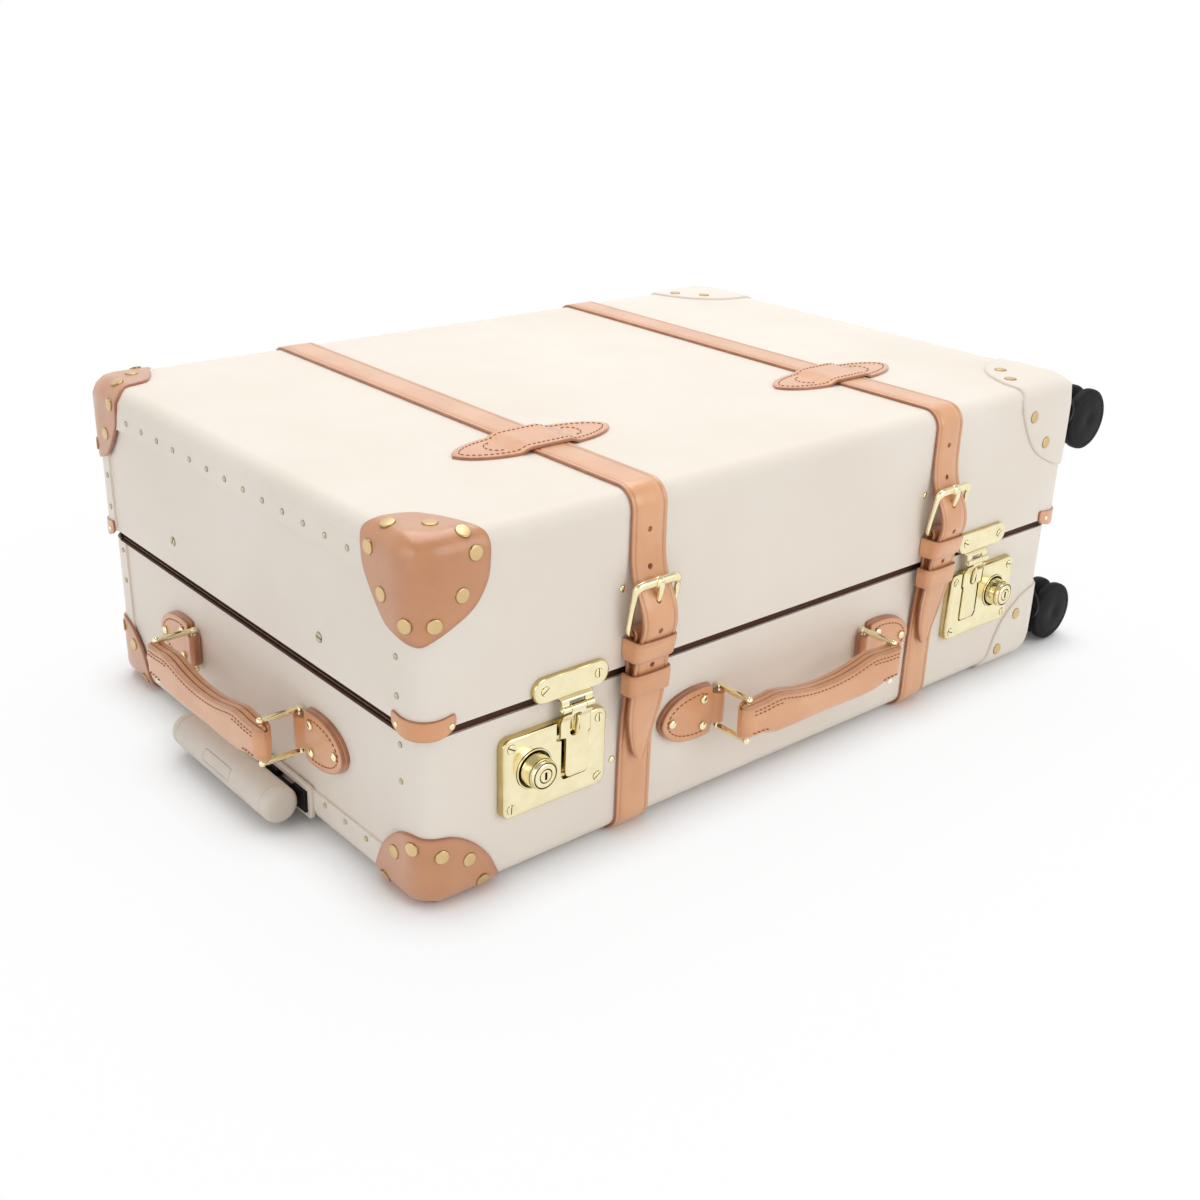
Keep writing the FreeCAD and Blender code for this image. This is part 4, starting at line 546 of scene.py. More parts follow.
def cut_away(piece, cutter, sharp):
    """Takes a closed shape out of a piece for good."""
    tool = bpy.data.objects.new("cutter", mesh_of(cutter, "cutter", sharp))
    bpy.context.scene.collection.objects.link(tool)
    change = piece.modifiers.new("holes", 'BOOLEAN')
    change.object = tool
    change.operation = 'DIFFERENCE'
    change.solver = 'EXACT'
    bpy.context.view_layer.update()
    graph = bpy.context.evaluated_depsgraph_get()
    mesh = bpy.data.meshes.new_from_object(piece.evaluated_get(graph))
    piece.modifiers.remove(change)
    old = piece.data
    piece.data = mesh
    mesh.name = old.name
    bpy.data.meshes.remove(old)
    bpy.data.meshes.remove(tool.data)
    mesh.set_sharp_from_angle(angle=math.radians(sharp))


def curve_point(a, b, c, d, share):
    """A point between b and c on the centripetal curve through four points."""
    t1 = max((b - a).length, 1e-6) ** 0.5
    t2 = t1 + max((c - b).length, 1e-6) ** 0.5
    t3 = t2 + max((d - c).length, 1e-6) ** 0.5
    t = t1 + (t2 - t1) * share
    first = a * ((t1 - t) / t1) + b * (t / t1)
    second = b * ((t2 - t) / (t2 - t1)) + c * ((t - t1) / (t2 - t1))
    third = c * ((t3 - t) / (t3 - t2)) + d * ((t - t2) / (t3 - t2))
    early = first * ((t2 - t) / t2) + second * (t / t2)
    late = second * ((t3 - t) / (t3 - t1)) + third * ((t - t1) / (t3 - t1))
    return early * ((t2 - t) / (t2 - t1)) + late * ((t - t1) / (t2 - t1))


def evenly(points, step, closed=False):
    """Points at equal distances along a line of points."""
    line = list(points) + ([points[0]] if closed else [])
    along = [0.0]
    for here, there in zip(line, line[1:]):
        along.append(along[-1] + (there - here).length)
    count = max(2, round(along[-1] / step))
    result = []
    index = 0
    for number in range(count if closed else count + 1):
        want = along[-1] * number / count
        while index + 2 < len(along) and along[index + 1] < want:
            index += 1
        gap = along[index + 1] - along[index]
        share = min(max((want - along[index]) / gap, 0.0), 1.0) if gap else 0.0
        result.append(line[index].lerp(line[index + 1], share))
    return result


def smooth_run(points, step):
    """Evenly spaced points on a smooth curve through the given points."""
    spots = [Vector(point) for point in points]
    spots = [spots[0] * 2 - spots[1]] + spots + [spots[-1] * 2 - spots[-2]]
    dense = []
    for before, here, there, beyond in zip(spots, spots[1:], spots[2:], spots[3:]):
        fine = int((there - here).length / step * 3) + 3
        dense.extend(curve_point(before, here, there, beyond, part / fine) for part in range(fine))
    return evenly(dense + [spots[-2]], step)


def height_over(points, step):
    """A smooth curve through pairs, the first number growing, as a function of the first number."""
    dense = smooth_run(points, step)
    starts = [spot.x for spot in dense]

    def value(place):
        index = min(max(bisect.bisect_left(starts, place) - 1, 0), len(dense) - 2)
        gap = starts[index + 1] - starts[index]
        share = (place - starts[index]) / gap if gap > 1e-9 else 0.0
        return dense[index].lerp(dense[index + 1], min(max(share, 0.0), 1.0)).y
    return value


def arc(centre, radius, start, end, steps):
    """Points on an arc in a plane, from start to end in degrees."""
    turns = [math.radians(start + (end - start) * step / steps) for step in range(steps + 1)]
    return [Vector(centre) + Vector((math.cos(turn), math.sin(turn))) * radius for turn in turns]


def rounded_outline(half_wide, half_high, radius, steps, gap):
    """A rectangle with rounded corners, as points at about one gap from each other."""
    points = []
    for sign_a, sign_b, start in ((1, 1, 0), (-1, 1, 90), (-1, -1, 180), (1, -1, 270)):
        centre = (sign_a * (half_wide - radius), sign_b * (half_high - radius))
        points += arc(centre, radius, start, start + 90, steps)
    return evenly(points, gap, True)


def ease(share):
    share = min(max(share, 0.0), 1.0)
    return share * share * (3 - 2 * share)


def ways_along(points):
    """The direction of a run at each of its points."""
    last = len(points) - 1
    return [(points[min(number + 1, last)] - points[max(number - 1, 0)]).normalized()
            for number in range(last + 1)]


def ring_of(centre, side, lift, sides):
    """Points on an oval round a centre, with side and lift as its half axes."""
    turns = [2 * math.pi * step / sides for step in range(sides)]
    return [centre + side * math.cos(turn) + lift * math.sin(turn) for turn in turns]


def turned(shape, profile, base, axis, sides=32, wear_and_shade=0.0):
    """A turned form: radius, height and, where it differs, the edge mark for wear and painted shade, from a
    base point along an axis.
    """
    axis = Vector(axis).normalized()
    side = axis.orthogonal().normalized()
    other = axis.cross(side)
    rings = []
    marks = []
    for radius, height, *mark in profile:
        rings.append(ring_of(base + axis * height, side * radius, other * radius, sides))
        marks.append([mark[0] if mark else wear_and_shade] * sides)
    shape.skin(rings, marks)


def swept(shape, stations, section):
    """A section of (across, out, edge mark for wear and painted shade) carried along stations of (place,
    across, out, wide).
    """
    rings = []
    for place, across, out, wide in stations:
        rings.append([place + across * (point[0] * wide) + out * point[1] for point in section])
    shape.skin(rings, [[point[2] for point in section]] * len(rings))


def rod(shape, points, radii, sides=14, flat=1.0, up=None):
    """A round or oval bar along a run of points."""
    rings = []
    for point, radius, ahead in zip(points, radii, ways_along(points)):
        side = ahead.cross(up or ahead.orthogonal()).normalized()
        lift = side.cross(ahead).normalized()
        up = up or lift
        rings.append(ring_of(point, side * radius, lift * (radius * flat), sides))
    shape.skin(rings)


def capsule(shape, start, end, radius):
    """A round bar with rounded ends."""
    reach = (end - start).normalized() * radius
    turns = [math.radians(turn) for turn in (6, 30, 60, 90)]
    points = [start - reach * math.cos(turn) for turn in turns]
    points += [end + reach * math.cos(turn) for turn in reversed(turns)]
    radii = [radius * math.sin(turn) for turn in turns]
    rod(shape, points, radii + radii[::-1])


def pad(shape, outline, place, thick, rim, crown=0.0, middle=None, edge_wear_and_shade=1.0,
        inside=(0.82, 0.6, 0.35, 0.08)):
    """A plate with a rounded rim. place(a, b, height) puts a point of the outline's plane on its carrier."""
    centre = middle or sum(outline, Vector((0, 0))) / len(outline)
    layers = [(share, 0.0, 0.03, 0.2) for share in reversed(inside)]
    # The edge mark gives the rim the edge colour: wear, and painted shade on the sides of brass plates; a
    # mark above one paints shade in a hole or pocket.
    layers += [(1.0, 0.0, 0.03, edge_wear_and_shade), (1.0, 0.0, 0.5 * thick, edge_wear_and_shade),
               (1.0, 0.12 * rim, 0.72 * thick, edge_wear_and_shade), (1.0, 0.42 * rim, 0.92 * thick, edge_wear_and_shade * 0.7),
               (1.0, rim, thick, edge_wear_and_shade * 0.25)]
    layers += [(share, rim, thick + crown * (1 - share * share), 0.0) for share in inside]
    rings = []
    wear_and_shade = []
    for share, inset, height, wear_shade in layers:
        ring = []
        for point in outline:
            away = point - centre
            scale = share * (1 - inset / max(away.length, inset + 0.01))
            spot = centre + away * scale
            ring.append(place(spot.x, spot.y, height))
        rings.append(ring)
        wear_and_shade.append([wear_shade] * len(outline))
    shape.skin(rings, wear_and_shade)


# Place along a stitch and share of its full thickness.
STITCH_FORM = ((-0.5, 0.3), (-0.4, 0.8), (-0.15, 1.0), (0.15, 1.0), (0.4, 0.8), (0.5, 0.3))
STITCH_SUNK = 0.25


def stitch_row(shape, run, up):
    """Stitches along a run of points, one between each point and the next, on a face that looks up."""
    long = size("stitch_long")
    radius = size("stitch_round")
    for here, there in zip(run, run[1:]):
        way = there - here
        if way.length < 1e-6:
            continue
        way.normalize()
        side = way.cross(up).normalized()
        middle = (here + there) / 2 + up * (radius * STITCH_SUNK)
        shape.skin([ring_of(middle + way * (share * long), side * (radius * swell), up * (radius * swell), 6)
                    for share, swell in STITCH_FORM])


def stitch_step():
    return size("stitch_long") + size("stitch_gap")


def heads_of(node):
    """Base point, direction, radius and height of every separate head in a CAD node."""
    mesh = frame["nodes"][node].data
    owner = {}

    def root(key):
        while owner[key] != key:
            owner[key] = owner[owner[key]]
            key = owner[key]
        return key

    keys = []
    for vertex in mesh.vertices:
        key = tuple(round(value / MM, 2) for value in vertex.co)
        owner.setdefault(key, key)
        keys.append(key)
    for face in mesh.polygons:
        first = root(keys[face.vertices[0]])
        for index in face.vertices[1:]:
            owner[root(keys[index])] = first
    groups = {}
    for key in owner:
        groups.setdefault(root(key), []).append(key)
    found = []
    for points in groups.values():
        cloud = np.array(sorted(points))
        middle = cloud.mean(axis=0)
        way = np.linalg.eigh(np.cov((cloud - middle).T))[1][:, 0]
        way = way if way.dot(middle - CASE_MIDDLE) > 0 else -way
        rise = (cloud - middle) @ way
        flat = cloud - middle - np.outer(rise, way)
        radius = float(np.linalg.norm(flat, axis=1).max())
        found.append((Vector(middle + way * rise.min()), Vector(way), radius, float(np.ptp(rise))))
    found.sort(key=lambda item: tuple(round(value, 2) for value in item[0]))
    return found


# Stage, in metres

CAMERA_PLACE = Vector((-0.70117, -0.80590, 0.51235))
CAMERA_YAW = math.radians(41.217)
CAMERA_PITCH = math.radians(23.399)
CAMERA_ROLL = math.radians(1.921)
CAMERA_LENS = 43.70
CAMERA_SENSOR = 36.0
FLOOR_HALF = 6.0
FLOOR_DROP = 0.0002
WORLD_LIGHT = 0.53
# Place, target, width and power of each lamp.
LAMPS = {
    "top_light": ((0.35, 0.55, 2.1), (0, 0, 0.1), 1.8, 26.0),
    "front_light": ((0.6, -2.3, 1.3), (0, 0, 0.12), 1.6, 16.6),
    "end_light": ((-2.3, -0.2, 1.1), (0, 0, 0.12), 1.4, 8.0),
}


def camera_matrix():
    right = Vector((math.cos(CAMERA_YAW), -math.sin(CAMERA_YAW), 0))
    level = Vector((math.sin(CAMERA_YAW), math.cos(CAMERA_YAW), 0))
    ahead = level * math.cos(CAMERA_PITCH) - UPWARDS * math.sin(CAMERA_PITCH)
    up = right.cross(ahead)
    turned_right = right * math.cos(CAMERA_ROLL) + up * math.sin(CAMERA_ROLL)
    turned_up = up * math.cos(CAMERA_ROLL) - right * math.sin(CAMERA_ROLL)
    matrix = Matrix((turned_right, turned_up, -ahead)).transposed().to_4x4()
    matrix.translation = CAMERA_PLACE
    return matrix


def softbox(name, place, target, wide, power):
    lamp = bpy.data.lights.new(name, 'AREA')
    lamp.shape = 'SQUARE'
    lamp.size = wide
    lamp.energy = power
    holder = bpy.data.objects.new(name, lamp)
    holder.location = place
    holder.rotation_euler = (Vector(target) - Vector(place)).to_track_quat('-Z', 'Y').to_euler()
    bpy.context.scene.collection.objects.link(holder)


def mixed_shader(tree, share, first, second):
    feeds = [(0, share), (1, first.outputs[0]), (2, second.outputs[0])]
    return add(tree, "ShaderNodeMixShader", feeds)


def floor_material():
    """A pale floor that goes white for the camera, apart from close to the case: there ambient occlusion
    takes the white away, a painted contact shadow over the real shadow.
    """
    material, tree, shader = clouded("studio floor", "floor", "floor", (3.0, 400.0, 0.1),
                                     values={"Roughness": 0.9, "Specular IOR Level": 0.1})
    glow = add(tree, "ShaderNodeEmission", [("Color", WHITE), ("Strength", 1.0)])
    away = add(tree, "ShaderNodeVectorMath", [(0, object_place(tree))], operation='LENGTH').outputs["Value"]
    # Ambient occlusion takes the white away near the case: a painted contact shadow, over the real shadow of
    # the diffuse floor.
    clear = add(tree, "ShaderNodeAmbientOcclusion", [("Distance", 0.04)], samples=8).outputs["AO"]
    white = math_node(tree, 'MULTIPLY_ADD', ramp(tree, away, 0.4, 0.8), 0.12, 0.88)
    white = math_node(tree, 'MULTIPLY', white, ramp(tree, clear, 0.45, 0.97))
    path = add(tree, "ShaderNodeLightPath").outputs
    seen = math_node(tree, 'MAXIMUM', path["Is Camera Ray"], path["Is Glossy Ray"])
    mixed = mixed_shader(tree, math_node(tree, 'MULTIPLY', seen, white), shader, glow)
    tree.links.new(mixed.outputs[0], tree.nodes["Material Output"].inputs["Surface"])
    return material


def white_world():
    """White for the camera, a weaker white for light, and a reflection that is dimmer overhead."""
    world = bpy.data.worlds.new("studio")
    world.use_nodes = True
    tree = world.node_tree
    light = tree.nodes["Background"]
    light.inputs["Color"].default_value = WHITE
    light.inputs["Strength"].default_value = WORLD_LIGHT
    seen = add(tree, "ShaderNodeBackground", [("Color", WHITE), ("Strength", 1.0)])
    way = add(tree, "ShaderNodeTexCoord").outputs["Generated"]
    overhead = ramp(tree, add(tree, "ShaderNodeSeparateXYZ", [(0, way)]).outputs[2], 0.45, 0.75)
    dimmed = math_node(tree, 'MULTIPLY_ADD', overhead, -0.55, 1.0)
    mirrored = add(tree, "ShaderNodeBackground", [("Color", WHITE), ("Strength", dimmed)])
    path = add(tree, "ShaderNodeLightPath").outputs
    lit = mixed_shader(tree, path["Is Glossy Ray"], light, mirrored)
    share = math_node(tree, 'MAXIMUM', path["Is Camera Ray"], path["Is Transmission Ray"])
    mixed = mixed_shader(tree, share, lit, seen)
    tree.links.new(mixed.outputs[0], tree.nodes["World Output"].inputs["Surface"])
    return world


class SUITCASE_OT_stage(bpy.types.Operator):
    """Floor, soft light and camera"""
    bl_idname = "suitcase.stage"
    bl_label = "Stage"

    def execute(self, context):
        scene = context.scene
        scene.view_settings.view_transform = 'Standard'
        level = CAD_BOX[0].z - FLOOR_DROP
        corners = [(x * FLOOR_HALF, y * FLOOR_HALF, level) for x, y in ((-1, -1), (1, -1), (1, 1), (-1, 1))]
        mesh = bpy.data.meshes.new("studio_floor")
        mesh.from_pydata(corners, [], [(0, 1, 2, 3)])
        floor = bpy.data.objects.new("studio_floor", mesh)
        mesh.materials.append(floor_material())
        scene.collection.objects.link(floor)
        scene.world = white_world()
        for name, settings in LAMPS.items():
            softbox(name, *settings)
        camera = bpy.data.cameras.new("camera")
        camera.sensor_width = CAMERA_SENSOR
        camera.lens = CAMERA_LENS
        camera.clip_start = 0.01
        holder = bpy.data.objects.new("camera", camera)
        holder.matrix_world = camera_matrix()
        scene.collection.objects.link(holder)
        scene.camera = holder
        return {'FINISHED'}


# Shells

# The flange turned down on the lid's handle end, and the dark band over the seam below it.
FLANGE_RISE = 0.9
FLANGE_FADE = 8.0
FLANGE_BELOW_ROW = 8.5
BAND_HALF = 0.9
BAND_MIDDLE = BASE_HIGH.z + 0.1
BAND_PROUD = 0.3


def lid_end_row():
    """Height of the row of rivets along the top of the lid's handle end."""
    return max(base.z for base, way, radius, high in heads_of("lid_rivets") if way.x < -FACING)


def flange_proud(up):
    """How far the turned-down flange stands off the lid's handle end at a height."""
    return FLANGE_RISE * (1 - ease((up - LID_EDGE + FLANGE_FADE) / FLANGE_FADE))


class SUITCASE_OT_shells(bpy.types.Operator):
    """Fibre shells, end panels, rim, lining and hinges"""
    bl_idname = "suitcase.shells"
    bl_label = "Shells, lining and hinges"

    def execute(self, context):
        finish_nodes("fibre", "base_shell", "lid_shell", "base_end_panels", "lid_end_panels")
        finish_nodes("rim", "base_rim")
        finish_nodes("lining", "base_lining", "lid_lining", "floor_board")
        finish_nodes("brass", "lid_hinge_leaves", "base_hinge_leaves", "hinge_pins")
        half_high = (LID_EDGE - lid_end_row() + FLANGE_BELOW_ROW) / 2
        panel = span("base_end_panels")[0].x

        def on_lid_end(across, up, height):
            level = LID_EDGE - half_high + up
            return Vector((-LX - flange_proud(level) * height, across, level))

        def on_base_end(across, up, height):
            return Vector((panel - height, across, BAND_MIDDLE + up))

        flange = Shape()
        outline = rounded_outline(LY - LID_ROUND, half_high, 1.0, 2, 2.0)
        pad(flange, outline, on_lid_end, 1.0, 0.25, middle=Vector((0, 0)))
        make(flange, "lid_end_flange", "fibre", "lid", [], CRISP)
        band = Shape()
        outline = rounded_outline(BY - LID_ROUND + 1.0, BAND_HALF, 0.4, 2, 2.0)
        pad(band, outline, on_base_end, panel - BASE_LOW.x + BAND_PROUD, 0.3)
        make(band, "rim_edge_band", "rim", "base", [], CRISP)
        return {'FINISHED'}


# Corner caps. A cap is drawn round one corner: x, y and z run in from the end, the side and the flat.

# How much fuller a cap is in its middle, the points round it, and where its inner rings lie.
CAP_PUFF = 0.15
CAP_POINTS = 120
CAP_INSIDE = (0.02, 0.2, 0.36, 0.5, 0.62, 0.73, 0.83, 0.91)
LEATHER_LID_CAP = [(4.7, 3.3, 60.6), (11.8, -0.8, 56.3), (21, -1.8, 51.9), (29, -1.8, 48.1),
                   (37.7, -1.8, 42.1), (43.1, -1.8, 35.1), (47.2, -1.8, 26), (48.5, -1.8, 14.6),
                   (48.8, -0.6, 6.3), (47.9, 2.9, 1.7), (42.7, 9.4, -1.6), (38.5, 22.2, -1.8),
                   (32.9, 33.3, -1.8), (25.8, 42.4, -1.8), (15.5, 46.4, -1.8), (7.2, 48.5, -0.9),
                   (1.2, 52.6, 3.4), (-1.5, 51, 9.3), (-1.8, 49, 23.3), (-1.8, 42.5, 34.8),
                   (-1.8, 35, 44.7), (-1.8, 26.4, 53), (-1.6, 15, 56.7), (1.2, 7.6, 59.8)]
LEATHER_BASE_CAP = [(2.3, 4.7, 47.3), (7.1, 0.6, 46.8), (14.6, -1.7, 46), (23.7, -1.8, 42.5),
                    (32.3, -1.8, 37), (41, -1.8, 28.6), (46.9, -1.8, 20.6), (50.7, -1.8, 12.7),
                    (55.2, 1.1, 3.5), (54, 14, -1.8), (46, 32, -1.8), (30, 44, -1.8), (14, 49, -1.8),
                    (1, 50, 3.5), (-1.8, 48.5, 10), (-1.8, 45.7, 16.9), (-1.8, 40.8, 26.6),
                    (-1.8, 31.5, 37.6), (-1.8, 21.6, 45.1), (-1.1, 11, 48.4)]
IVORY_LID_CAP = [(0, 0, 68), (18, 0, 67.5), (33, 0, 61.5), (52.5, 0, 49.5), (68, 0, 29), (76, 0, 10),
                 (73, 0, 0), (74, 14, 0), (69, 28, 0), (52, 53, 0), (30, 66, 0), (0, 70, 0), (0, 74, 12),
                 (0, 67, 30), (0, 52, 50), (0, 33, 62), (0, 16, 67.5)]
IVORY_BASE_CAP = [(0, 0, 60.5), (10, 0, 61), (25, 0, 57), (40, 0, 48), (57, 0, 29), (64, 0, 12), (71, 0, 0),
                  (64, 16, 0), (55, 34, 0), (38, 50, 0), (16, 60, 0), (0, 66, 0), (0, 60, 12), (0, 54, 29),
                  (0, 40, 47), (0, 24, 57), (0, 10, 61)]
CAP_REACH = 62.0
CAP_CENTRE = Vector((CAP_REACH, CAP_REACH, CAP_REACH))
CAP_AXIS = Vector((-1, -1, -1)).normalized()
CAP_SIDE = Vector((-1, 1, 0)).normalized()
CAP_UP = CAP_AXIS.cross(CAP_SIDE)


def depth_outside(point, upright_round):
    """Distance outside the rounded box corner, below zero inside it."""
    plan = Vector((upright_round - point.x, upright_round - point.y))
    flat = Vector((max(plan.x, 0), max(plan.y, 0))).length + min(max(plan.x, plan.y), 0) - upright_round
    pair = (EDGE_ROUND + flat, EDGE_ROUND - point.z)
    return Vector((max(pair[0], 0), max(pair[1], 0))).length + min(max(pair), 0) - EDGE_ROUND


def corner_spot(turn, lean, upright_round, height):
    """The point at a height over the corner, at a turn round the cap's axis and a lean away from it."""
    way = CAP_AXIS * math.cos(lean) + (CAP_SIDE * math.cos(turn) + CAP_UP * math.sin(turn)) * math.sin(lean)
    near = 0.0
    far = CAP_REACH * 3
    for _ in range(26):
        middle = (near + far) / 2
        if depth_outside(CAP_CENTRE + way * middle, upright_round) < 0:
            near = middle
        else:
            far = middle
    spot = CAP_CENTRE + way * near
    step = 0.05
    here = depth_outside(spot, upright_round)
    normal = Vector([depth_outside(spot + Vector(shift), upright_round) - here
                     for shift in ((step, 0, 0), (0, step, 0), (0, 0, step))]).normalized()
    return spot + normal * height


def cap_edge(outline, turns):
    """The lean of the cap's outline at each turn, smooth through the outline's points."""
    known = []
    for point in outline:
        way = (Vector(point) - CAP_CENTRE).normalized()
        turn = math.atan2(way.dot(CAP_UP), way.dot(CAP_SIDE)) % (2 * math.pi)
        known.append(Vector((turn, math.acos(min(max(way.dot(CAP_AXIS), -1), 1)))))
    known.sort(key=lambda pair: pair.x)
    round_once = Vector((2 * math.pi, 0))
    looped = [pair - round_once for pair in known[-3:]] + known + [pair + round_once for pair in known[:3]]
    lean_at = height_over(looped, 0.01)
    return [lean_at(turn) for turn in turns]


def corner_cap(outline, upright_round, thick):
    """One cap as a closed shape in corner lengths."""
    turns = [2 * math.pi * number / CAP_POINTS for number in range(CAP_POINTS)]
    edge = cap_edge(outline, turns)
    layers = [(share, 0.04, 0.0) for share in CAP_INSIDE]
    layers += [(1.0, 0.0, 1.0), (1.0, 0.55 * thick, 1.0), (0.995, 0.82 * thick, 1.0),
               (0.985, 0.95 * thick, 0.7), (0.965, thick, 0.25)]
    layers += [(share, thick + CAP_PUFF * (1 - share ** 4), 0.0) for share in reversed(CAP_INSIDE)]
    rings = []
    for share, height, wear_shade in layers:
        rings.append([corner_spot(turn, lean * share, upright_round, height)
                      for turn, lean in zip(turns, edge)])
    shape = Shape()
    shape.skin(rings, [[wear_shade] * CAP_POINTS for share, height, wear_shade in layers])
    return shape


class SUITCASE_OT_corner_caps(bpy.types.Operator):
    """Leather caps at the handle end and ivory caps at the wheel end"""
    bl_idname = "suitcase.corner_caps"
    bl_label = "Corner caps"

    def execute(self, context):
        lid = ("lid", LX, LY, LID_TOP, LID_ROUND, 1)
        base = ("base", BX, BY, BASE_LOW.z, BASE_ROUND, -1)
        kinds = [("lid_leather_caps", LEATHER_LID_CAP, "cap", -1, lid),
                 ("lid_ivory_caps", IVORY_LID_CAP, "fibre", 1, lid),
                 ("base_leather_caps", LEATHER_BASE_CAP, "cap", -1, base),
                 ("base_ivory_caps", IVORY_BASE_CAP, "fibre", 1, base)]
        for node, outline, finish, side_x, (body, half_x, half_y, level, rounded, upright) in kinds:
            one = corner_cap(outline, rounded, size("cap_thick"))
            pair = Shape()
            for side_y in (-1, 1):
                pair.join(one, lambda point: Vector((side_x * (half_x - point.x), side_y * (half_y - point.y),
                                                     level - upright * point.z)))
            make(pair, node + "_shaped", finish, body, [node])
        return {'FINISHED'}


# Reach of a tab from the middle of its corner, and what it has more along the sides of the wheel end.
TAB_REACH = 21.5
TAB_MORE = 5.5
TAB_THICK = 1.6
TAB_STEPS = 24
TAB_SOFTENING = 7
TAB_INSIDE = (0.9, 0.8, 0.7, 0.6, 0.45, 0.3, 0.1)


def tab_spot(along, high, height):
    """A point on the lid's wall round its corner: along runs both ways from the middle of the corner."""
    quarter = LID_ROUND * math.pi / 4
    if abs(along) <= quarter:
        turn = math.pi / 4 + along / LID_ROUND
        radius = LID_ROUND + height
        return Vector((LID_ROUND - radius * math.cos(turn), LID_ROUND - radius * math.sin(turn), high))
    rest = LID_ROUND + abs(along) - quarter
    return Vector((rest, -height, high)) if along > 0 else Vector((-height, rest, high))


def tab_outline(low, high):
    """A smile round the corner, its corners softened."""
    shares = [-1 + 2 * step / TAB_STEPS for step in range(TAB_STEPS + 1)]
    tall = high - low
    lower = [Vector((share * TAB_REACH * 0.985, low + tall * 0.4 * abs(share) ** 2.6)) for share in shares]
    upper = [Vector((-share * TAB_REACH, high - tall * 0.16 * (1 - abs(share) ** 2.2))) for share in shares]
    outline = evenly(lower + upper, 1.0, True)
    for _ in range(TAB_SOFTENING):
        after = outline[1:] + outline[:1]
        outline = [(outline[number - 1] + here * 2 + there) / 4
                   for number, (here, there) in enumerate(zip(outline, after))]
    return outline


class SUITCASE_OT_seam_tabs(bpy.types.Operator):
    """Leather tabs over the seam at the corners"""
    bl_idname = "suitcase.seam_tabs"
    bl_label = "Seam tabs"

    def execute(self, context):
        low, high = (point.z for point in span("seam_tabs"))
        outline = tab_outline(low, high)
        middle = Vector((0, low + (high - low) * 0.4))
        tabs = Shape()
        for side_x in (-1, 1):
            for side_y in (-1, 1):
                one = Shape()
                more = TAB_MORE if side_x > 0 else 0.0
                longer = [Vector((spot.x + more * ease(spot.x / TAB_REACH), spot.y)) for spot in outline]
                pad(one, longer, tab_spot, TAB_THICK, 0.9, 0.1, middle, inside=TAB_INSIDE)
                tabs.join(one, lambda point: Vector((side_x * (LX - point.x), side_y * (LY - point.y),
                                                     point.z)))
        make(tabs, "seam_tabs_shaped", "leather", "lid", ["seam_tabs"])
        return {'FINISHED'}


# Heads. Each profile has shares of the radius and of the height, and an edge mark for wear and painted shade.

DOME = [(1, 0.12, 1.0), (0.97, 0.34, 0.5), (0.86, 0.62), (0.66, 0.83), (0.4, 0.95), (0.08, 1)]
FLAT_TOP = [(1, 0.1, 1.0), (0.985, 0.5, 0.9), (0.94, 0.8, 0.6), (0.86, 0.97, 0.1), (0.78, 1.02), (0.05, 1.08)]
SCREW_SEAT = [(1.07, 0.1), (0.95, 0.35), (0.05, 0.35)]
SCREW_HALF = ((1.0, 0.2), (1.0, 0.7), (0.93, 0.9), (0.8, 1), (0.1, 1))
TACK_LEAST = 4.0
TACK_HIGH = 0.9
DOME_LEAST = 0.55
SCREW_STEPS = 14
# Turn of the first slot, and from each slot to the next.
SCREW_TURN, SCREW_NEXT = 0.7, 1.1
ROW_HALF = 3.0


def head(shape, foot, profile, base, way, radius, high, sides, wear_and_shade=0.0):
    """A turned head on a foot of (share of the radius, depth, edge mark for wear and painted shade)."""
    scaled = [(share * radius, rise * high, *mark) for share, rise, *mark in profile]
    turned(shape, [(foot[0] * radius, *foot[1:])] + scaled, base, way, sides, wear_and_shade)


def slotted(shape, base, way, radius, high, turn):
    """A screw head in two halves with the slot between them, over a lower disc marked to paint shade in the
    slot and round the head.
    """
    head(shape, (1.07, -0.4), SCREW_SEAT, base, way, radius, high, 24, 1.8)
    axis = Vector(way).normalized()
    side = (Matrix.Rotation(turn, 3, axis) @ axis.orthogonal().normalized()).normalized()
    other = axis.cross(side)
    lean = math.degrees(math.asin(max(0.3, radius * 0.13) / radius))
    for half in (0, 180):
        outline = arc((0, 0), radius, half + lean, half + 180 - lean, SCREW_STEPS)
        centre = sum(outline, Vector((0, 0))) / len(outline)
        rings = []
        for share, rise in SCREW_HALF:
            spots = [centre + (point - centre) * share for point in outline]
            rings.append([base + axis * (rise * high) + side * spot.x + other * spot.y for spot in spots])
        shape.skin(rings)


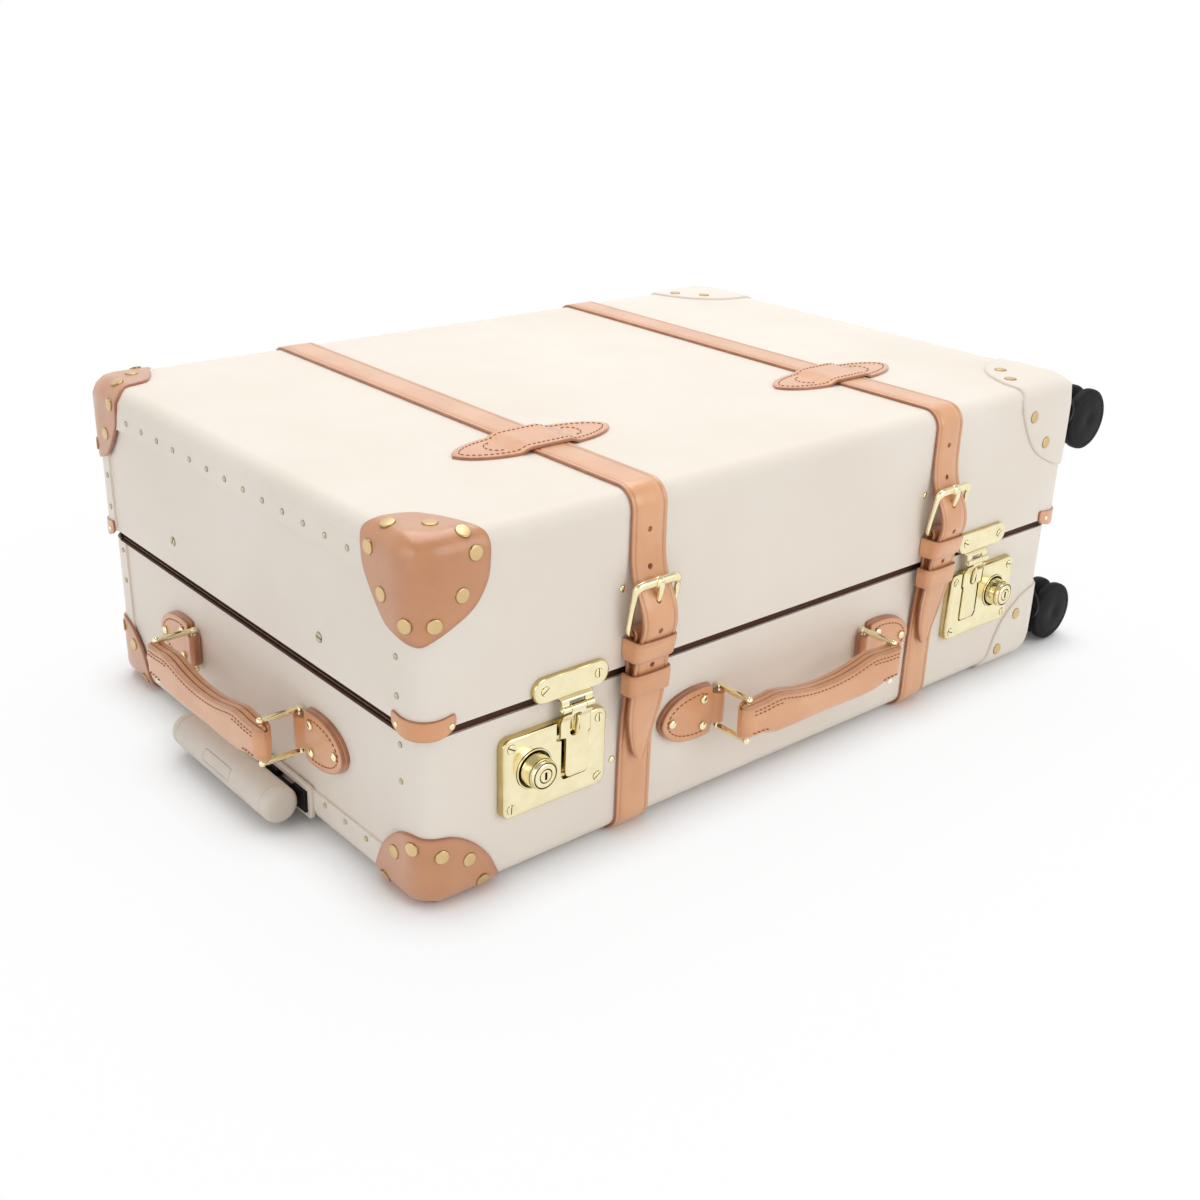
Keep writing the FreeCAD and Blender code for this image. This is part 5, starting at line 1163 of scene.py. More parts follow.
class SUITCASE_OT_heads(bpy.types.Operator):
    """Tacks, rivets and screws"""
    bl_idname = "suitcase.heads"
    bl_label = "Tacks, rivets and screws"

    def execute(self, context):
        row = lid_end_row()
        for node, body, small_finish in (("lid_tacks", "lid", "brass"), ("base_tacks", "base", "brass"),
                                         ("lid_rivets", "lid", "worn"), ("base_rivets", "base", "rivet")):
            tacks = Shape()
            small = Shape()
            for base, way, radius, high in heads_of(node):
                if node == "lid_rivets" and way.x < -FACING and base.z > row - ROW_HALF:
                    base = base + way * flange_proud(base.z)
                if radius > TACK_LEAST:
                    head(tacks, (0.97, -0.7, 1.0), FLAT_TOP, base, way, radius, TACK_HIGH, 28)
                else:
                    high = max(high, radius * DOME_LEAST)
                    head(small, (0.98, -0.4, 1.0), DOME, base, way, radius, high, 20)
            for shape, finish, label in ((tacks, "tack", "_flat"), (small, small_finish, "_domed")):
                if shape.points:
                    make(shape, node + label, finish, body, [node], SOFT)
        for node, body in (("lid_screws", "lid"), ("lock_screws", "base")):
            bright = Shape()
            worn = Shape()
            for number, (base, way, radius, high) in enumerate(heads_of(node)):
                on_front = way.y < -FACING
                if body == "lid" and on_front:
                    base.y = -LY - size("hasp_thick")
                turn = SCREW_TURN + number * SCREW_NEXT
                slotted(bright if on_front else worn, base, way, radius, high, turn)
            make(bright, node + "_slotted", "brass", body, [node], FIRM)
            if worn.points:
                make(worn, node + "_worn", "worn", body, [node], FIRM)
        return {'FINISHED'}


# Straps. Runs lie in the plane of Y and Z.

STRAP_HALF = 14.2
STRAP_X = span("lid_straps")[1].x - STRAP_HALF
LID_GAP = 0.1
BASE_GAP = 0.25
LID_STRAP_FOOT = 132.0
BASE_STRAP_TOP = Vector((211.3, 104.0))
FRONT_RUN = [(-211.1, 221), (-211.2, 206), (-211.6, 193), (-212.9, 184), (-215.4, 176.5), (-219.2, 169.5),
             (-222.9, 162.5), (-225.0, 155.5), (-225.3, 148.5), (-223.4, 141.0), (-220.9, 133.5),
             (-219.1, 124), (-217.9, 110), (-216.2, 97), (-213.9, 82), (-212.2, 68), (-211.6, 52.0)]
BASE_FRONT_RUN = [(-207.05, 12), (-207.05, 30), (-207.1, 52), (-207.7, 70), (-209.4, 90), (-211.5, 110),
                  (-211.9, 126), (-212.3, 139)]
BASE_BACK_RUN = [(207.05, 12), (207.05, 40), (207.6, 66), (209.6, 88), BASE_STRAP_TOP]
FOLD_RUN = [(-218.9, 127), (-219.6, 134), (-220.7, 140.5)]
FOLD_ROUND = 4.7
# Distance from the tip of a strap and share of its full width there.
TAIL_SHAPE = [(0.0, 0.04), (0.5, 0.14), (1.4, 0.23), (2.9, 0.31), (9.6, 0.5), (18.0, 0.68), (27.0, 0.84),
              (36.0, 0.95), (44.0, 1.0), (60.0, 1.0)]
HOLE_HEIGHTS = (207.5, 185.0, 164.5, 146.0, 121.5)
HOLE_PUNCH = [(1.9, -2.0), (1.9, 6.0)]
# The holes are looked for on the part of the strap that is in front of this.
HOLE_SEARCH = -150.0
UPPER_BAR = Vector((0, -222.6, 177.1))
LOWER_BAR = Vector((0, -216.6, 143.6))


def strap_section(half, thick, crease):
    """Section of a strap: a slightly crowned face with a pressed line near each edge."""
    right = [(half, 0.3 * thick, 1.0), (half, 0.62 * thick, 1.0), (half - 0.25, 0.86 * thick, 0.8),
             (half - 0.7, thick, 0.2)]
    if crease:
        right += [(half - crease + 1.1, thick + 0.02, 0.0), (half - crease + 0.4, thick - 0.35, 0.42),
                  (half - crease - 0.4, thick - 0.35, 0.42), (half - crease - 1.1, thick + 0.04, 0.0)]
    right += [(half * 0.4, thick + 0.14, 0.0)]
    left = [(-across, out, wear_shade) for across, out, wear_shade in reversed(right)]
    under = [(-half + 0.5, 0.0, 0.6), (-half * 0.4, 0.0, 0.1), (half * 0.4, 0.0, 0.1), (half - 0.5, 0.0, 0.6)]
    return right + [(0.0, thick + 0.18, 0.0)] + left + under


def face_out(way):
    """The outer side of a run, which is on its right."""
    return Vector((0, way.y, -way.x))


def strap_stations(points, middle, narrow=None):
    """Stations along a strap, narrowed by the distance that is left to its end."""
    stations = []
    left = sum((there - here).length for here, there in zip(points, points[1:]))
    for number, (point, way) in enumerate(zip(points, ways_along(points))):
        if number:
            left -= (point - points[number - 1]).length
        share = narrow(left) if narrow else 1.0
        stations.append((Vector((middle, point.x, point.y)), ALONG_X, face_out(way), share))
    return stations


def lid_strap_run():
    """From the back hinge up, over the lid and down the front, with closer points at the tip."""
    back = [Vector((LY + LID_GAP, high)) for high in (LID_STRAP_FOOT, 160, 190)]
    over_back = arc((LY - EDGE_ROUND, LID_EDGE), EDGE_ROUND + LID_GAP, 0, 90, 14)
    over_front = arc((-LY + EDGE_ROUND, LID_EDGE), EDGE_ROUND + LID_GAP, 90, 180, 14)
    run = evenly(back + over_back + over_front + smooth_run(FRONT_RUN, 1.5)[1:], 2.0)
    return run[:-6] + evenly(run[-6:], 0.5)


def base_strap_run():
    """From the buckle bar down the front, under the case and up the back."""
    fold = smooth_run(FOLD_RUN, 1.0) + arc(LOWER_BAR.yz, FOLD_ROUND, 180, 0, 16)
    front = list(reversed(smooth_run(BASE_FRONT_RUN, 2.0)))
    under = arc((-BY + EDGE_ROUND, EDGE_ROUND), EDGE_ROUND + BASE_GAP, 180, 270, 14)
    under += arc((BY - EDGE_ROUND, EDGE_ROUND), EDGE_ROUND + BASE_GAP, 270, 360, 14)
    for point in under:
        point.y = max(point.y, 0.0)
    return evenly(fold + front[:-1] + under + smooth_run(BASE_BACK_RUN, 2.0)[1:], 2.0)


class SUITCASE_OT_straps(bpy.types.Operator):
    """Leather straps round the lid and the base"""
    bl_idname = "suitcase.straps"
    bl_label = "Straps"

    def execute(self, context):
        section = strap_section(STRAP_HALF, size("strap_thick"), size("crease_inset"))
        lid_run = lid_strap_run()
        base_run = base_strap_run()
        ways = ways_along(lid_run)
        front = [number for number, spot in enumerate(lid_run[:-1]) if spot.x < HOLE_SEARCH]
        taper = height_over(TAIL_SHAPE, 0.2)
        lid = Shape()
        base = Shape()
        holes = Shape()
        for side in (-1, 1):
            swept(lid, strap_stations(lid_run, side * STRAP_X, taper), section)
            swept(base, strap_stations(base_run, side * STRAP_X), section)
            for want in HOLE_HEIGHTS:
                number = min(front, key=lambda index: abs(lid_run[index].y - want))
                place = Vector((side * STRAP_X, *lid_run[number]))
                # A mark of two paints shade inside each punched hole.
                turned(holes, HOLE_PUNCH, place, face_out(ways[number]), 18, 2.0)
        strap = make(lid, "lid_straps_leather", "leather", "lid", ["lid_straps"], SOFT)
        cut_away(strap, holes, SOFT)
        make(base, "base_straps_leather", "leather", "base", ["base_straps"], SOFT)
        run = evenly([BASE_STRAP_TOP, Vector((LY + LID_GAP, LID_STRAP_FOOT))], 1.4)
        for side, label in SIDES:
            bridge = Shape()
            swept(bridge, strap_stations(run, side * STRAP_X), section)
            piece = make(bridge, "strap_bridge_" + label, "leather", None, [], SOFT)
            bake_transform(piece)
        return {'FINISHED'}


FRAME_HALF = 17.4
FRAME_ROUND = 5.0
FRAME_SWELLING = 4.0
# Half width and half depth of a frame's bars, each with what the top bar has more.
FRAME_BARS = ((2.0, 1.3), (1.75, 0.95))
PRONG_SLEEVE = [(3.3, -2.7), (3.75, -2.3), (3.85, -1.0), (3.85, 1.0), (3.75, 2.3), (3.3, 2.7)]
PRONG_RUN = [(-225.4, 178.0), (-225.7, 174.5), (-224.9, 170.5), (-223.9, 167.0), (-222.4, 164.0)]
PRONG_ROUND = 2.5
PRONG_TAPER = 0.8
PRONG_TIP = 0.9


class SUITCASE_OT_buckles(bpy.types.Operator):
    """Brass buckle frames and their prongs"""
    bl_idname = "suitcase.buckles"
    bl_label = "Buckles"

    def execute(self, context):
        rise = (UPPER_BAR - LOWER_BAR).length
        up = (UPPER_BAR - LOWER_BAR) / rise
        face = ALONG_X.cross(up)
        run = rounded_outline(FRAME_HALF, rise / 2, FRAME_ROUND, 8, 1.6)
        frames = Shape()
        for side in (-1, 1):
            centre = (UPPER_BAR + LOWER_BAR) / 2 + ALONG_X * (side * STRAP_X)
            rings = []
            for number, spot in enumerate(run):
                way = (run[(number + 1) % len(run)] - run[number - 1]).normalized()
                across = ALONG_X * way.y - up * way.x
                place = centre + ALONG_X * spot.x + up * spot.y
                top = ease((spot.y - rise / 2 + FRAME_ROUND) / FRAME_SWELLING)
                wide, deep = (bar + more * top for bar, more in FRAME_BARS)
                rings.append(ring_of(place, across * wide, face * deep, 14))
            frames.skin(rings, looped=True)
        make(frames, "buckle_frames_cast", "brass", "base", ["buckle_frames"], ROUNDED)
        for side, label in SIDES:
            prong = Shape()
            middle = side * STRAP_X
            turned(prong, PRONG_SLEEVE, UPPER_BAR + ALONG_X * middle, ALONG_X, 24)
            run = smooth_run([(middle, *spot) for spot in PRONG_RUN], 0.9)
            last = len(run) - 1
            radii = [PRONG_ROUND - PRONG_TAPER * (number / last) ** 1.4 for number in range(last)]
            rod(prong, run, radii + [PRONG_TIP], 12, 0.85, ALONG_X)
            node = "buckle_prong_" + label
            make(prong, node + "_cast", "brass", "prong_" + label, [node], ROUNDED)
        return {'FINISHED'}


# Lower edge, upper edge, inner face and outward lean of each loop.
LOOPS = [(126.1, 140.8, -224.2, 0.22), (102.1, 117.1, -220.9, 0.08)]
LOOP_WALL = -211.7
LOOP_HALF = STRAP_HALF + 0.9
LOOP_ROUND = 3.0
LOOP_THICK = 1.7


def loop_run(front):
    """A loop seen from above, from the wall round the front and back to the wall."""
    half = LOOP_HALF
    inner = half - LOOP_ROUND
    middle = (LOOP_WALL + front) / 2
    outline = [(half, LOOP_WALL), (half, middle), *arc((inner, front + LOOP_ROUND), LOOP_ROUND, 0, -90, 8),
               (half * 0.4, front - 0.35), (0, front - 0.45), (-half * 0.4, front - 0.35),
               *arc((-inner, front + LOOP_ROUND), LOOP_ROUND, -90, -180, 8),
               (-half, middle), (-half, LOOP_WALL)]
    return evenly([Vector(spot) for spot in outline], 1.2)


class SUITCASE_OT_loops(bpy.types.Operator):
    """Leather loops that hold the strap ends"""
    bl_idname = "suitcase.loops"
    bl_label = "Strap loops"

    def execute(self, context):
        loops = Shape()
        for low, high, front, lean in LOOPS:
            section = strap_section((high - low) / 2, LOOP_THICK, 0)
            run = loop_run(front)
            for side in (-1, 1):
                stations = []
                for spot, way in zip(run, ways_along(run)):
                    place = Vector((side * STRAP_X + spot.x, spot.y, (low + high) / 2))
                    tilt = lean * (spot.y - LOOP_WALL) / (front - LOOP_WALL)
                    stations.append((place, Vector((0, -tilt, 1)), Vector((-way.y, way.x, 0)), 1.0))
                swept(loops, stations, section)
        make(loops, "strap_loops_leather", "leather", "base", ["strap_loops"], SOFT)
        return {'FINISHED'}


# Middle of a keeper on the lid, and its rise over the strap.
KEEPER_MIDDLE = -100.0
KEEPER_RISE = 2.75
KEEPER_SLOPE = 10.0
KEEPER_GAP = 0.02
KEEPER_THICK = 2.0
KEEPER_STITCH_INSET = 4.2
KEEPER_STEPS = 40
KEEPER_INSIDE = (0.93, 0.86, 0.78, 0.7, 0.6, 0.5, 0.4, 0.3, 0.2, 0.1, 0.03)
# Middle, reach along and reach across of the bows of stitches at the ends of a keeper.
BOW_MIDDLE, BOW_LONG, BOW_WIDE = 30.0, 7.5, 8.5


def keeper_spot(middle):
    def place(along, across, height):
        rise = KEEPER_RISE * (1 - ease((abs(along) - STRAP_HALF - 1.0) / KEEPER_SLOPE))
        return Vector((middle + along, KEEPER_MIDDLE + across, LID_TOP + KEEPER_GAP + rise + height))
    return place


def keeper_outline(inset):
    """A pointed oval, drawn in by an inset."""
    half_long = size("keeper_long") / 2 - inset * 1.15
    half_wide = size("keeper_wide") / 2 - inset
    points = []
    for sign in (1, -1):
        for step in range(KEEPER_STEPS):
            share = sign * (1 - 2 * step / KEEPER_STEPS)
            points.append(Vector((share * half_long, sign * half_wide * (1 - abs(share) ** 3.0) ** 0.66)))
    return evenly(points, 1.6, True)


class SUITCASE_OT_keepers(bpy.types.Operator):
    """Leather leaves on the lid that hold the straps in place"""
    bl_idname = "suitcase.keepers"
    bl_label = "Strap keepers"

    def execute(self, context):
        leaves = Shape()
        stitches = Shape()
        turns = [math.radians(turn) for turn in range(-100, 101, 10)]
        for side in (-1, 1):
            place = keeper_spot(side * STRAP_X)
            pad(leaves, keeper_outline(0.0), place, KEEPER_THICK, 0.9, inside=KEEPER_INSIDE)
            run = evenly(keeper_outline(KEEPER_STITCH_INSET), stitch_step(), True)
            rows = [run + run[:1]]
            for end in (-1, 1):
                bow = [Vector((end * (BOW_MIDDLE + BOW_LONG * math.cos(turn)), BOW_WIDE * math.sin(turn)))
                       for turn in turns]
                rows.append(evenly(bow, stitch_step()))
            for row in rows:
                stitch_row(stitches, [place(spot.x, spot.y, KEEPER_THICK) for spot in row], UPWARDS)
        make(leaves, "strap_keepers_leather", "leather", "lid", ["strap_keepers"], SOFT)
        make(stitches, "strap_keepers_stitching", "thread", "lid")
        return {'FINISHED'}


# Locks

LOCK_LOW, LOCK_HIGH = span("lock_bodies")
LOCK_FACE = span("lock_screws")[1].y
LOCK_HALF_WIDE = 40.0
LOCK_X = LOCK_HIGH.x - LOCK_HALF_WIDE
LOCK_Z = (LOCK_LOW.z + LOCK_HIGH.z) / 2
LOCK_HALF_HIGH = (LOCK_HIGH.z - LOCK_LOW.z) / 2
KNOB_POCKET = [(13.5, -1.1), (13.5, 3.0)]
KNOB_SUNK = 1.0
KEYHOLE_FLOOR = 9.2
# Third numbers above one paint shade in the knob's grooves, collar and keyhole rim.
KNOB_PROFILE = [(13.1, 0.0, 2.0),
                (13.1, 1.2, 0.6), (12.9, 1.7), (12.3, 1.8, 0.4), (12.1, 0.6, 2.0), (11.0, 0.4, 2.0),
                (10.9, 1.8, 1.7), (10.7, 2.4, 0.6), (10.4, 3.4), (10.1, 8.4), (10.0, 8.8, 1.6),
                (9.7, 9.1, 1.6), (9.8, 9.6), (9.6, 11.2), (9.1, 12.0), (8.7, 12.1, 0.4), (8.5, 11.5, 2.0),
                (7.9, 11.5, 2.0), (7.8, 12.1, 0.4), (7.2, 12.5), (4.9, 12.6), (4.7, 12.1, 1.9),
                (4.2, 12.1, 1.9), (4.0, 12.6), (0.2, 12.7)]
# Outlines of the hasp flap and of its well in the lock plate, from the middle of the case and up.
FLAP_OUTLINE = [(209.8, 87.2), (209.8, 103.4), (203.6, 103.9), (203.4, 106.6), (192.6, 106.6),
                (192.4, 103.9), (186.3, 103.4), (186.3, 87.2), (187.9, 86.2), (187.9, 60.0), (189.0, 58.7),
                (202.2, 58.7), (204.4, 59.7), (205.4, 62.0), (205.4, 86.4)]
WELL_OUTLINE = [(212.2, 86.0), (212.2, 102.0), (185.6, 102.0), (185.6, 86.0), (187.3, 85.0), (187.3, 59.0),
                (188.6, 57.7), (206.0, 57.7), (208.3, 60.5), (208.3, 85.0)]
FLAP_MIDDLE = Vector((197.5, 91.0))
WELL_FLOOR = LOCK_FACE + 2.6


def on_front_wall(middle_x, wall, middle_z):
    def place(along, up, height):
        return Vector((middle_x + along, wall - height, middle_z + up))
    return place


def spots_of(pairs, gap):
    return evenly([Vector(pair) for pair in pairs], gap, True)


class SUITCASE_OT_locks(bpy.types.Operator):
    """Lock plates and their key knobs"""
    bl_idname = "suitcase.locks"
    bl_label = "Locks"

    def execute(self, context):
        plates = Shape()
        pockets = Shape()
        outline = rounded_outline(LOCK_HALF_WIDE, LOCK_HALF_HIGH, 6.0, 8, 1.5)
        for side, label in SIDES:
            def in_well(away, up, height):
                return Vector((side * away, WELL_FLOOR - height, up))

            pad(plates, outline, on_front_wall(side * LOCK_X, -BY, LOCK_Z), -BY - LOCK_FACE, 1.7)
            knob = joint_place("knob_%s_turn" % label)
            # The pocket round each knob and the well of its flap are marked above one, which paints shade
            # inside them.
            turned(pockets, KNOB_POCKET, Vector((knob.x, LOCK_FACE, knob.z)), TO_FRONT, 48, 2.0)
            pad(pockets, spots_of(WELL_OUTLINE, 1.0), in_well, 8.0, 0.1, 0.0, FLAP_MIDDLE, 2.0)
        piece = make(plates, "lock_plates", "brass", "base", ["lock_bodies"], CRISP)
        cut_away(piece, pockets, CRISP)
        for side, label in SIDES:
            knob = joint_place("knob_%s_turn" % label)
            seat = Vector((knob.x, LOCK_FACE + KNOB_SUNK, knob.z))
            shape = Shape()
            turned(shape, KNOB_PROFILE, seat, TO_FRONT, 48)
            node = "lock_knob_" + label
            piece = make(shape, node + "_turned", "brass", "knob_" + label, [node], CRISP)
            keyhole = Shape()
            # The keyhole is marked above one, which paints shade inside it.
            pad(keyhole, rounded_outline(0.9, 2.6, 0.3, 3, 0.3),
                on_front_wall(knob.x, seat.y - KEYHOLE_FLOOR, knob.z), 5.0, 0.1, edge_wear_and_shade=2.0)
            cut_away(piece, keyhole, CRISP)
        return {'FINISHED'}


HASP_X = abs(joint_place("hasp_left_hinge").x)
HASP_AXIS = joint_place("hasp_left_hinge")
HASP_HALF = 12.0
HASP_PLATE_WIDE = 29.0
HASP_PLATE_HIGH = 8.2
LUG_HALF = 3.0
LUG_BARREL = [(1.9, 0.0), (2.4, 0.3), (2.4, 5.8), (2.0, 6.2), (1.3, 6.3), (1.2, 6.9), (0.8, 7.2), (0.1, 7.3)]
FLAP_BARREL = [(1.9, -5.6), (2.4, -5.3), (2.4, 5.3), (1.9, 5.6)]
FLAP_FACE = LOCK_FACE + 0.5
FLAP_THICK = 1.5
# How far the flap curves out to its knuckle, from what height and over what length.
FLAP_OUT, FLAP_BEND, FLAP_BENDING = 2.95, 96.5, 8.0
FLAP_SLOT = Vector((HASP_X + 0.6, 95.0))
FLAP_INSIDE = (0.93, 0.85, 0.76, 0.67, 0.58, 0.48, 0.36, 0.22, 0.06)
# Height over the hinge at which the middle of the tongue ends and its two lugs begin.
TONGUE_END = 4.5
LUG_START = 5.2
# Distance from the flap's face and height along the finger, and its radii at the tip.
FINGER_RUN = [(-2.4, 101.4), (-2.3, 98.0), (-1.5, 93.0), (-0.9, 87.6)]
FINGER_RADIUS = 2.3
FINGER_TIP = [2.15, 1.7, 0.9]


class SUITCASE_OT_hasps(bpy.types.Operator):
    """Hasp plates on the lid and their hinged flaps"""
    bl_idname = "suitcase.hasps"
    bl_label = "Hasps"

    def execute(self, context):
        plates = Shape()
        plate_high = span("hasp_plates")[1]
        middle_x = plate_high.x - HASP_PLATE_WIDE
        middle_z = plate_high.z - HASP_PLATE_HIGH + 0.2
        outline = rounded_outline(HASP_PLATE_WIDE, HASP_PLATE_HIGH, 8.0, 12, 1.0)
        for side, label in SIDES:
            pad(plates, outline, on_front_wall(side * middle_x, -LY, middle_z), size("hasp_thick"), 1.2)
            self.tongue(plates, side, middle_z - HASP_PLATE_HIGH)
        make(plates, "hasp_plates_cast", "brass", "lid", ["hasp_plates"], CRISP)
        for side, label in SIDES:
            self.flap(side, label)
        return {'FINISHED'}

    def tongue(self, plates, side, edge):
        """The tongue under a hasp plate: a slope outwards, an upright face and the two outer knuckles."""
        hinge_y, hinge_z = HASP_AXIS.yz
        run = [(-LY - 0.3, edge + 3.0), (-LY - 0.9, edge - 0.6), (hinge_y + 0.2, hinge_z + 5.8),
               (hinge_y, hinge_z + 4.4), (hinge_y, hinge_z - 0.5)]
        spots = evenly([Vector(spot) for spot in run], 0.5)
        for edge_side in (-1, 0, 1):
            stations = []
            middle = side * HASP_X + edge_side * (HASP_HALF - LUG_HALF)
            for spot, way in zip(spots, ways_along(spots)):
                above = spot.y - hinge_z
                outside = above > LUG_START if edge_side else above < TONGUE_END
                if outside:
                    continue
                flare = 1.0 if edge_side else 1.0 + 0.22 * (1 - ease((edge - spot.y + 1.0) / 4.0))
                stations.append((Vector((middle, spot.x, spot.y)), ALONG_X, face_out(way), flare))
            half = LUG_HALF if edge_side else HASP_HALF
            section = [(half, -1.3, 1.0), (half, -0.25, 0.6), (half - 0.35, 0.0, 0.1)]
            section += [(-across, out, wear_shade) for across, out, wear_shade in reversed(section)]
            swept(plates, stations, section)
        for end in (-1, 1):
            start = Vector((side * HASP_X + end * (HASP_HALF - 2 * LUG_HALF), hinge_y, hinge_z))
            turned(plates, LUG_BARREL, start, (end, 0, 0), 24)

    def flap(self, side, label):
        """The flap: a sheet in the lock plate, curved out to its knuckle, with a slot and a finger."""
        def sheet(away, up, height):
            outward = FLAP_OUT * ease((up - FLAP_BEND) / FLAP_BENDING)
            return Vector((side * away, FLAP_FACE - outward - height, up))

        shape = Shape()
        outline = spots_of(FLAP_OUTLINE, 0.8)
        pad(shape, outline, sheet, FLAP_THICK, 0.5, middle=FLAP_MIDDLE, inside=FLAP_INSIDE)
        turned(shape, FLAP_BARREL, Vector((side * HASP_X, *HASP_AXIS.yz)), ALONG_X, 24)
        body = "hasp_" + label
        node = "hasp_flap_" + label
        piece = make(shape, node + "_cast", "brass", body, [node], CRISP)
        slot = Shape()
        pad(slot, rounded_outline(3.9, 8.4, 3.4, 6, 0.7),
            on_front_wall(side * FLAP_SLOT.x, FLAP_FACE + 4.0, FLAP_SLOT.y), 12.0, 0.1)
        cut_away(piece, slot, CRISP)
        finger = Shape()
        run = smooth_run([(side * (HASP_X - 0.4), FLAP_FACE + away, up) for away, up in FINGER_RUN], 0.7)
        radii = [FINGER_RADIUS] * (len(run) - len(FINGER_TIP)) + FINGER_TIP
        rod(finger, run, radii, 16, 0.5, ALONG_X)
        make(finger, "hasp_finger_" + label, "brass", body, [], SOFT)


# Carry handles, drawn round the middle of the handle: along the wall, out from it and up.

PIVOT = abs(joint_place("front_handle_swing").x)
HANDLE_Z = joint_place("front_handle_swing").z
END_FACE = -span("base_end_panels")[0].x
END_HANDLE_Y = (span("end_grip")[0].y + span("end_grip")[1].y) / 2
FOLD = 4.4
FOLD_GAP = 0.2
FOLD_HALF = 4.15
FOLD_SLOPE = 8.0
RING_REACH = 27.4
RING_HALF = 14.9
RING_STEPS = 24
BALL = 2.55
RING_BAR = 1.8
ARM_END = 1.85
ARM_SWELL = 0.6
TONGUE_HALF = 11.3
SHOULDER = PIVOT + 6.4
PLATE_MIDDLE = Vector((94.0, 0.0))
PLATE_INSIDE = (0.95, 0.9, 0.84, 0.78, 0.71, 0.63, 0.54, 0.44, 0.33, 0.2, 0.06)
PLATE_STITCH_INSET = 5.0


def on_front_handle(along, out, up):
    return Vector((along, -BY - out, HANDLE_Z + up))


def on_end_handle(along, out, up):
    return Vector((-END_FACE - out, END_HANDLE_Y - along, HANDLE_Z + up))


def direction(place, along, out, up):
    return (place(along, out, up) - place(0, 0, 0)).normalized()


def moon_end(inset):
    """The rounded end of a handle plate from its upper shoulder to its lower one, drawn in by an inset."""
    start = SHOULDER + inset
    top = [(start, 16.9 - inset), (start + 0.4, 17.7 - inset), (start + 1.4, 18.1 - inset),
           (88.0, 18.9 - inset), (98.0, 18.6 - inset), (108.0 - inset * 0.4, 16.6 - inset * 0.9),
           (116.0 - inset * 0.7, 13.0 - inset * 0.7), (122.0 - inset * 0.9, 7.5 - inset * 0.42)]
    points = top + [(125.0 - inset, 0.0)] + [(along, -up) for along, up in reversed(top)]
    return smooth_run(points, 1.2)


def upper_outline(inset):
    """The upper layer of a handle plate, with the tongue that folds round the ring bar."""
    half = TONGUE_HALF
    tongue = [(SHOULDER + inset, -half - 0.9), (SHOULDER + inset - 0.7, -half - 0.1), (SHOULDER - 1.6, -half),
              (PIVOT - 2.6, -half), (PIVOT - 3.5, -half + 0.6), (PIVOT - 3.9, -half + 1.8)]
    mirrored = [(along, -up) for along, up in reversed(tongue)]
    return evenly(moon_end(inset) + [Vector(point) for point in tongue + mirrored], 1.0, True)


def plate_rise(along, height, thick):
    """Distance from the wall in the upper layer: half the plate, or the whole fold at the tongue."""
    share = ease((along - PIVOT) / FOLD_SLOPE)
    low = FOLD_GAP + (thick / 2 - FOLD_GAP) * share
    high = 2 * FOLD - FOLD_GAP + (thick - 2 * FOLD + FOLD_GAP) * share
    rise = low + (high - low) * height / (thick / 2)
    if along < PIVOT:
        rounded = math.sqrt(max(0.05, 1 - ((PIVOT - along) / FOLD_HALF) ** 2))
        rise = FOLD + (rise - FOLD) * rounded
    return rise


def ring_shape(side, place):
    """A ring of two arms with ball ends and two bars."""
    ring = Shape()
    ends = (FOLD, FOLD + RING_REACH)
    along_wall = direction(place, 1, 0, 0)
    up_way = direction(place, 0, 0, 1)
    turns = [math.radians(turn) for turn in range(5, 180, 17)]
    ball = [(BALL * math.sin(turn), -BALL * math.cos(turn)) for turn in turns]
    shares = [step / RING_STEPS for step in range(RING_STEPS + 1)]
    radii = [ARM_END + ARM_SWELL * math.sin(math.pi * share) ** 0.8 for share in shares]
    for up in (-RING_HALF, RING_HALF):
        start, end = (place(side * PIVOT, out, up) for out in ends)
        rod(ring, [start.lerp(end, share) for share in shares], radii, 16, 0.86, along_wall)
        turned(ring, ball, start, up_way, 20)
        turned(ring, ball, end, up_way, 20)
    for out in ends:
        capsule(ring, place(side * PIVOT, out, -RING_HALF), place(side * PIVOT, out, RING_HALF), RING_BAR)
    return ring


def grip_section_at(top, low, thick):
    """Section of a grip as (out, up, edge mark): three layers along the top and a rounded fold below."""
    half = thick / 2
    layer = thick / 6
    high = top - low
    # The mark of 1.2 where the outer layer meets the middle one paints a little shade in that groove.
    front = [(half, top - 1.5, 0.2), (half - 0.35, top - 0.35, 0.55), (half - 1.0, top, 0.4),
             (layer + 0.55, top, 0.4), (layer, top - 1.1, 1.2)]
    back = [(-out, up, wear_shade) for out, up, wear_shade in reversed(front)]
    middle = [(layer - 0.55, top + 0.1, 0.4), (0, top + 0.15, 0.3), (-layer + 0.55, top + 0.1, 0.4)]
    low_back = [(-half, low + high * share, 0.0) for share in (0.7, 0.5, 0.3)]
    low_front = [(half, up, wear_shade) for out, up, wear_shade in reversed(low_back)]
    drop = min(5.5, high * 0.24)
    turns = [math.pi + math.pi * step / 12 for step in range(1, 12)]
    fold = [(half * math.cos(turn), low + drop + drop * math.sin(turn), 0.15) for turn in turns]
    return front + middle + back + low_back + fold + low_front


GRIP_HALF = 80.0
GRIP_STEPS = 110
GRIP_TOP = [(0, 7.0), (14, 7.6), (30, 10.0), (42, 12.7), (50, 13.6), (56, 13.2), (62, 12.5), (72, 12.3),
            (77, 11.9), (80, 11.0)]
GRIP_LOW = [(0, -15.5), (14, -15.7), (30, -16.0), (42, -16.0), (50, -15.4), (56, -14.0), (62, -12.6),
            (72, -12.3), (77, -11.9), (80, -11.0)]
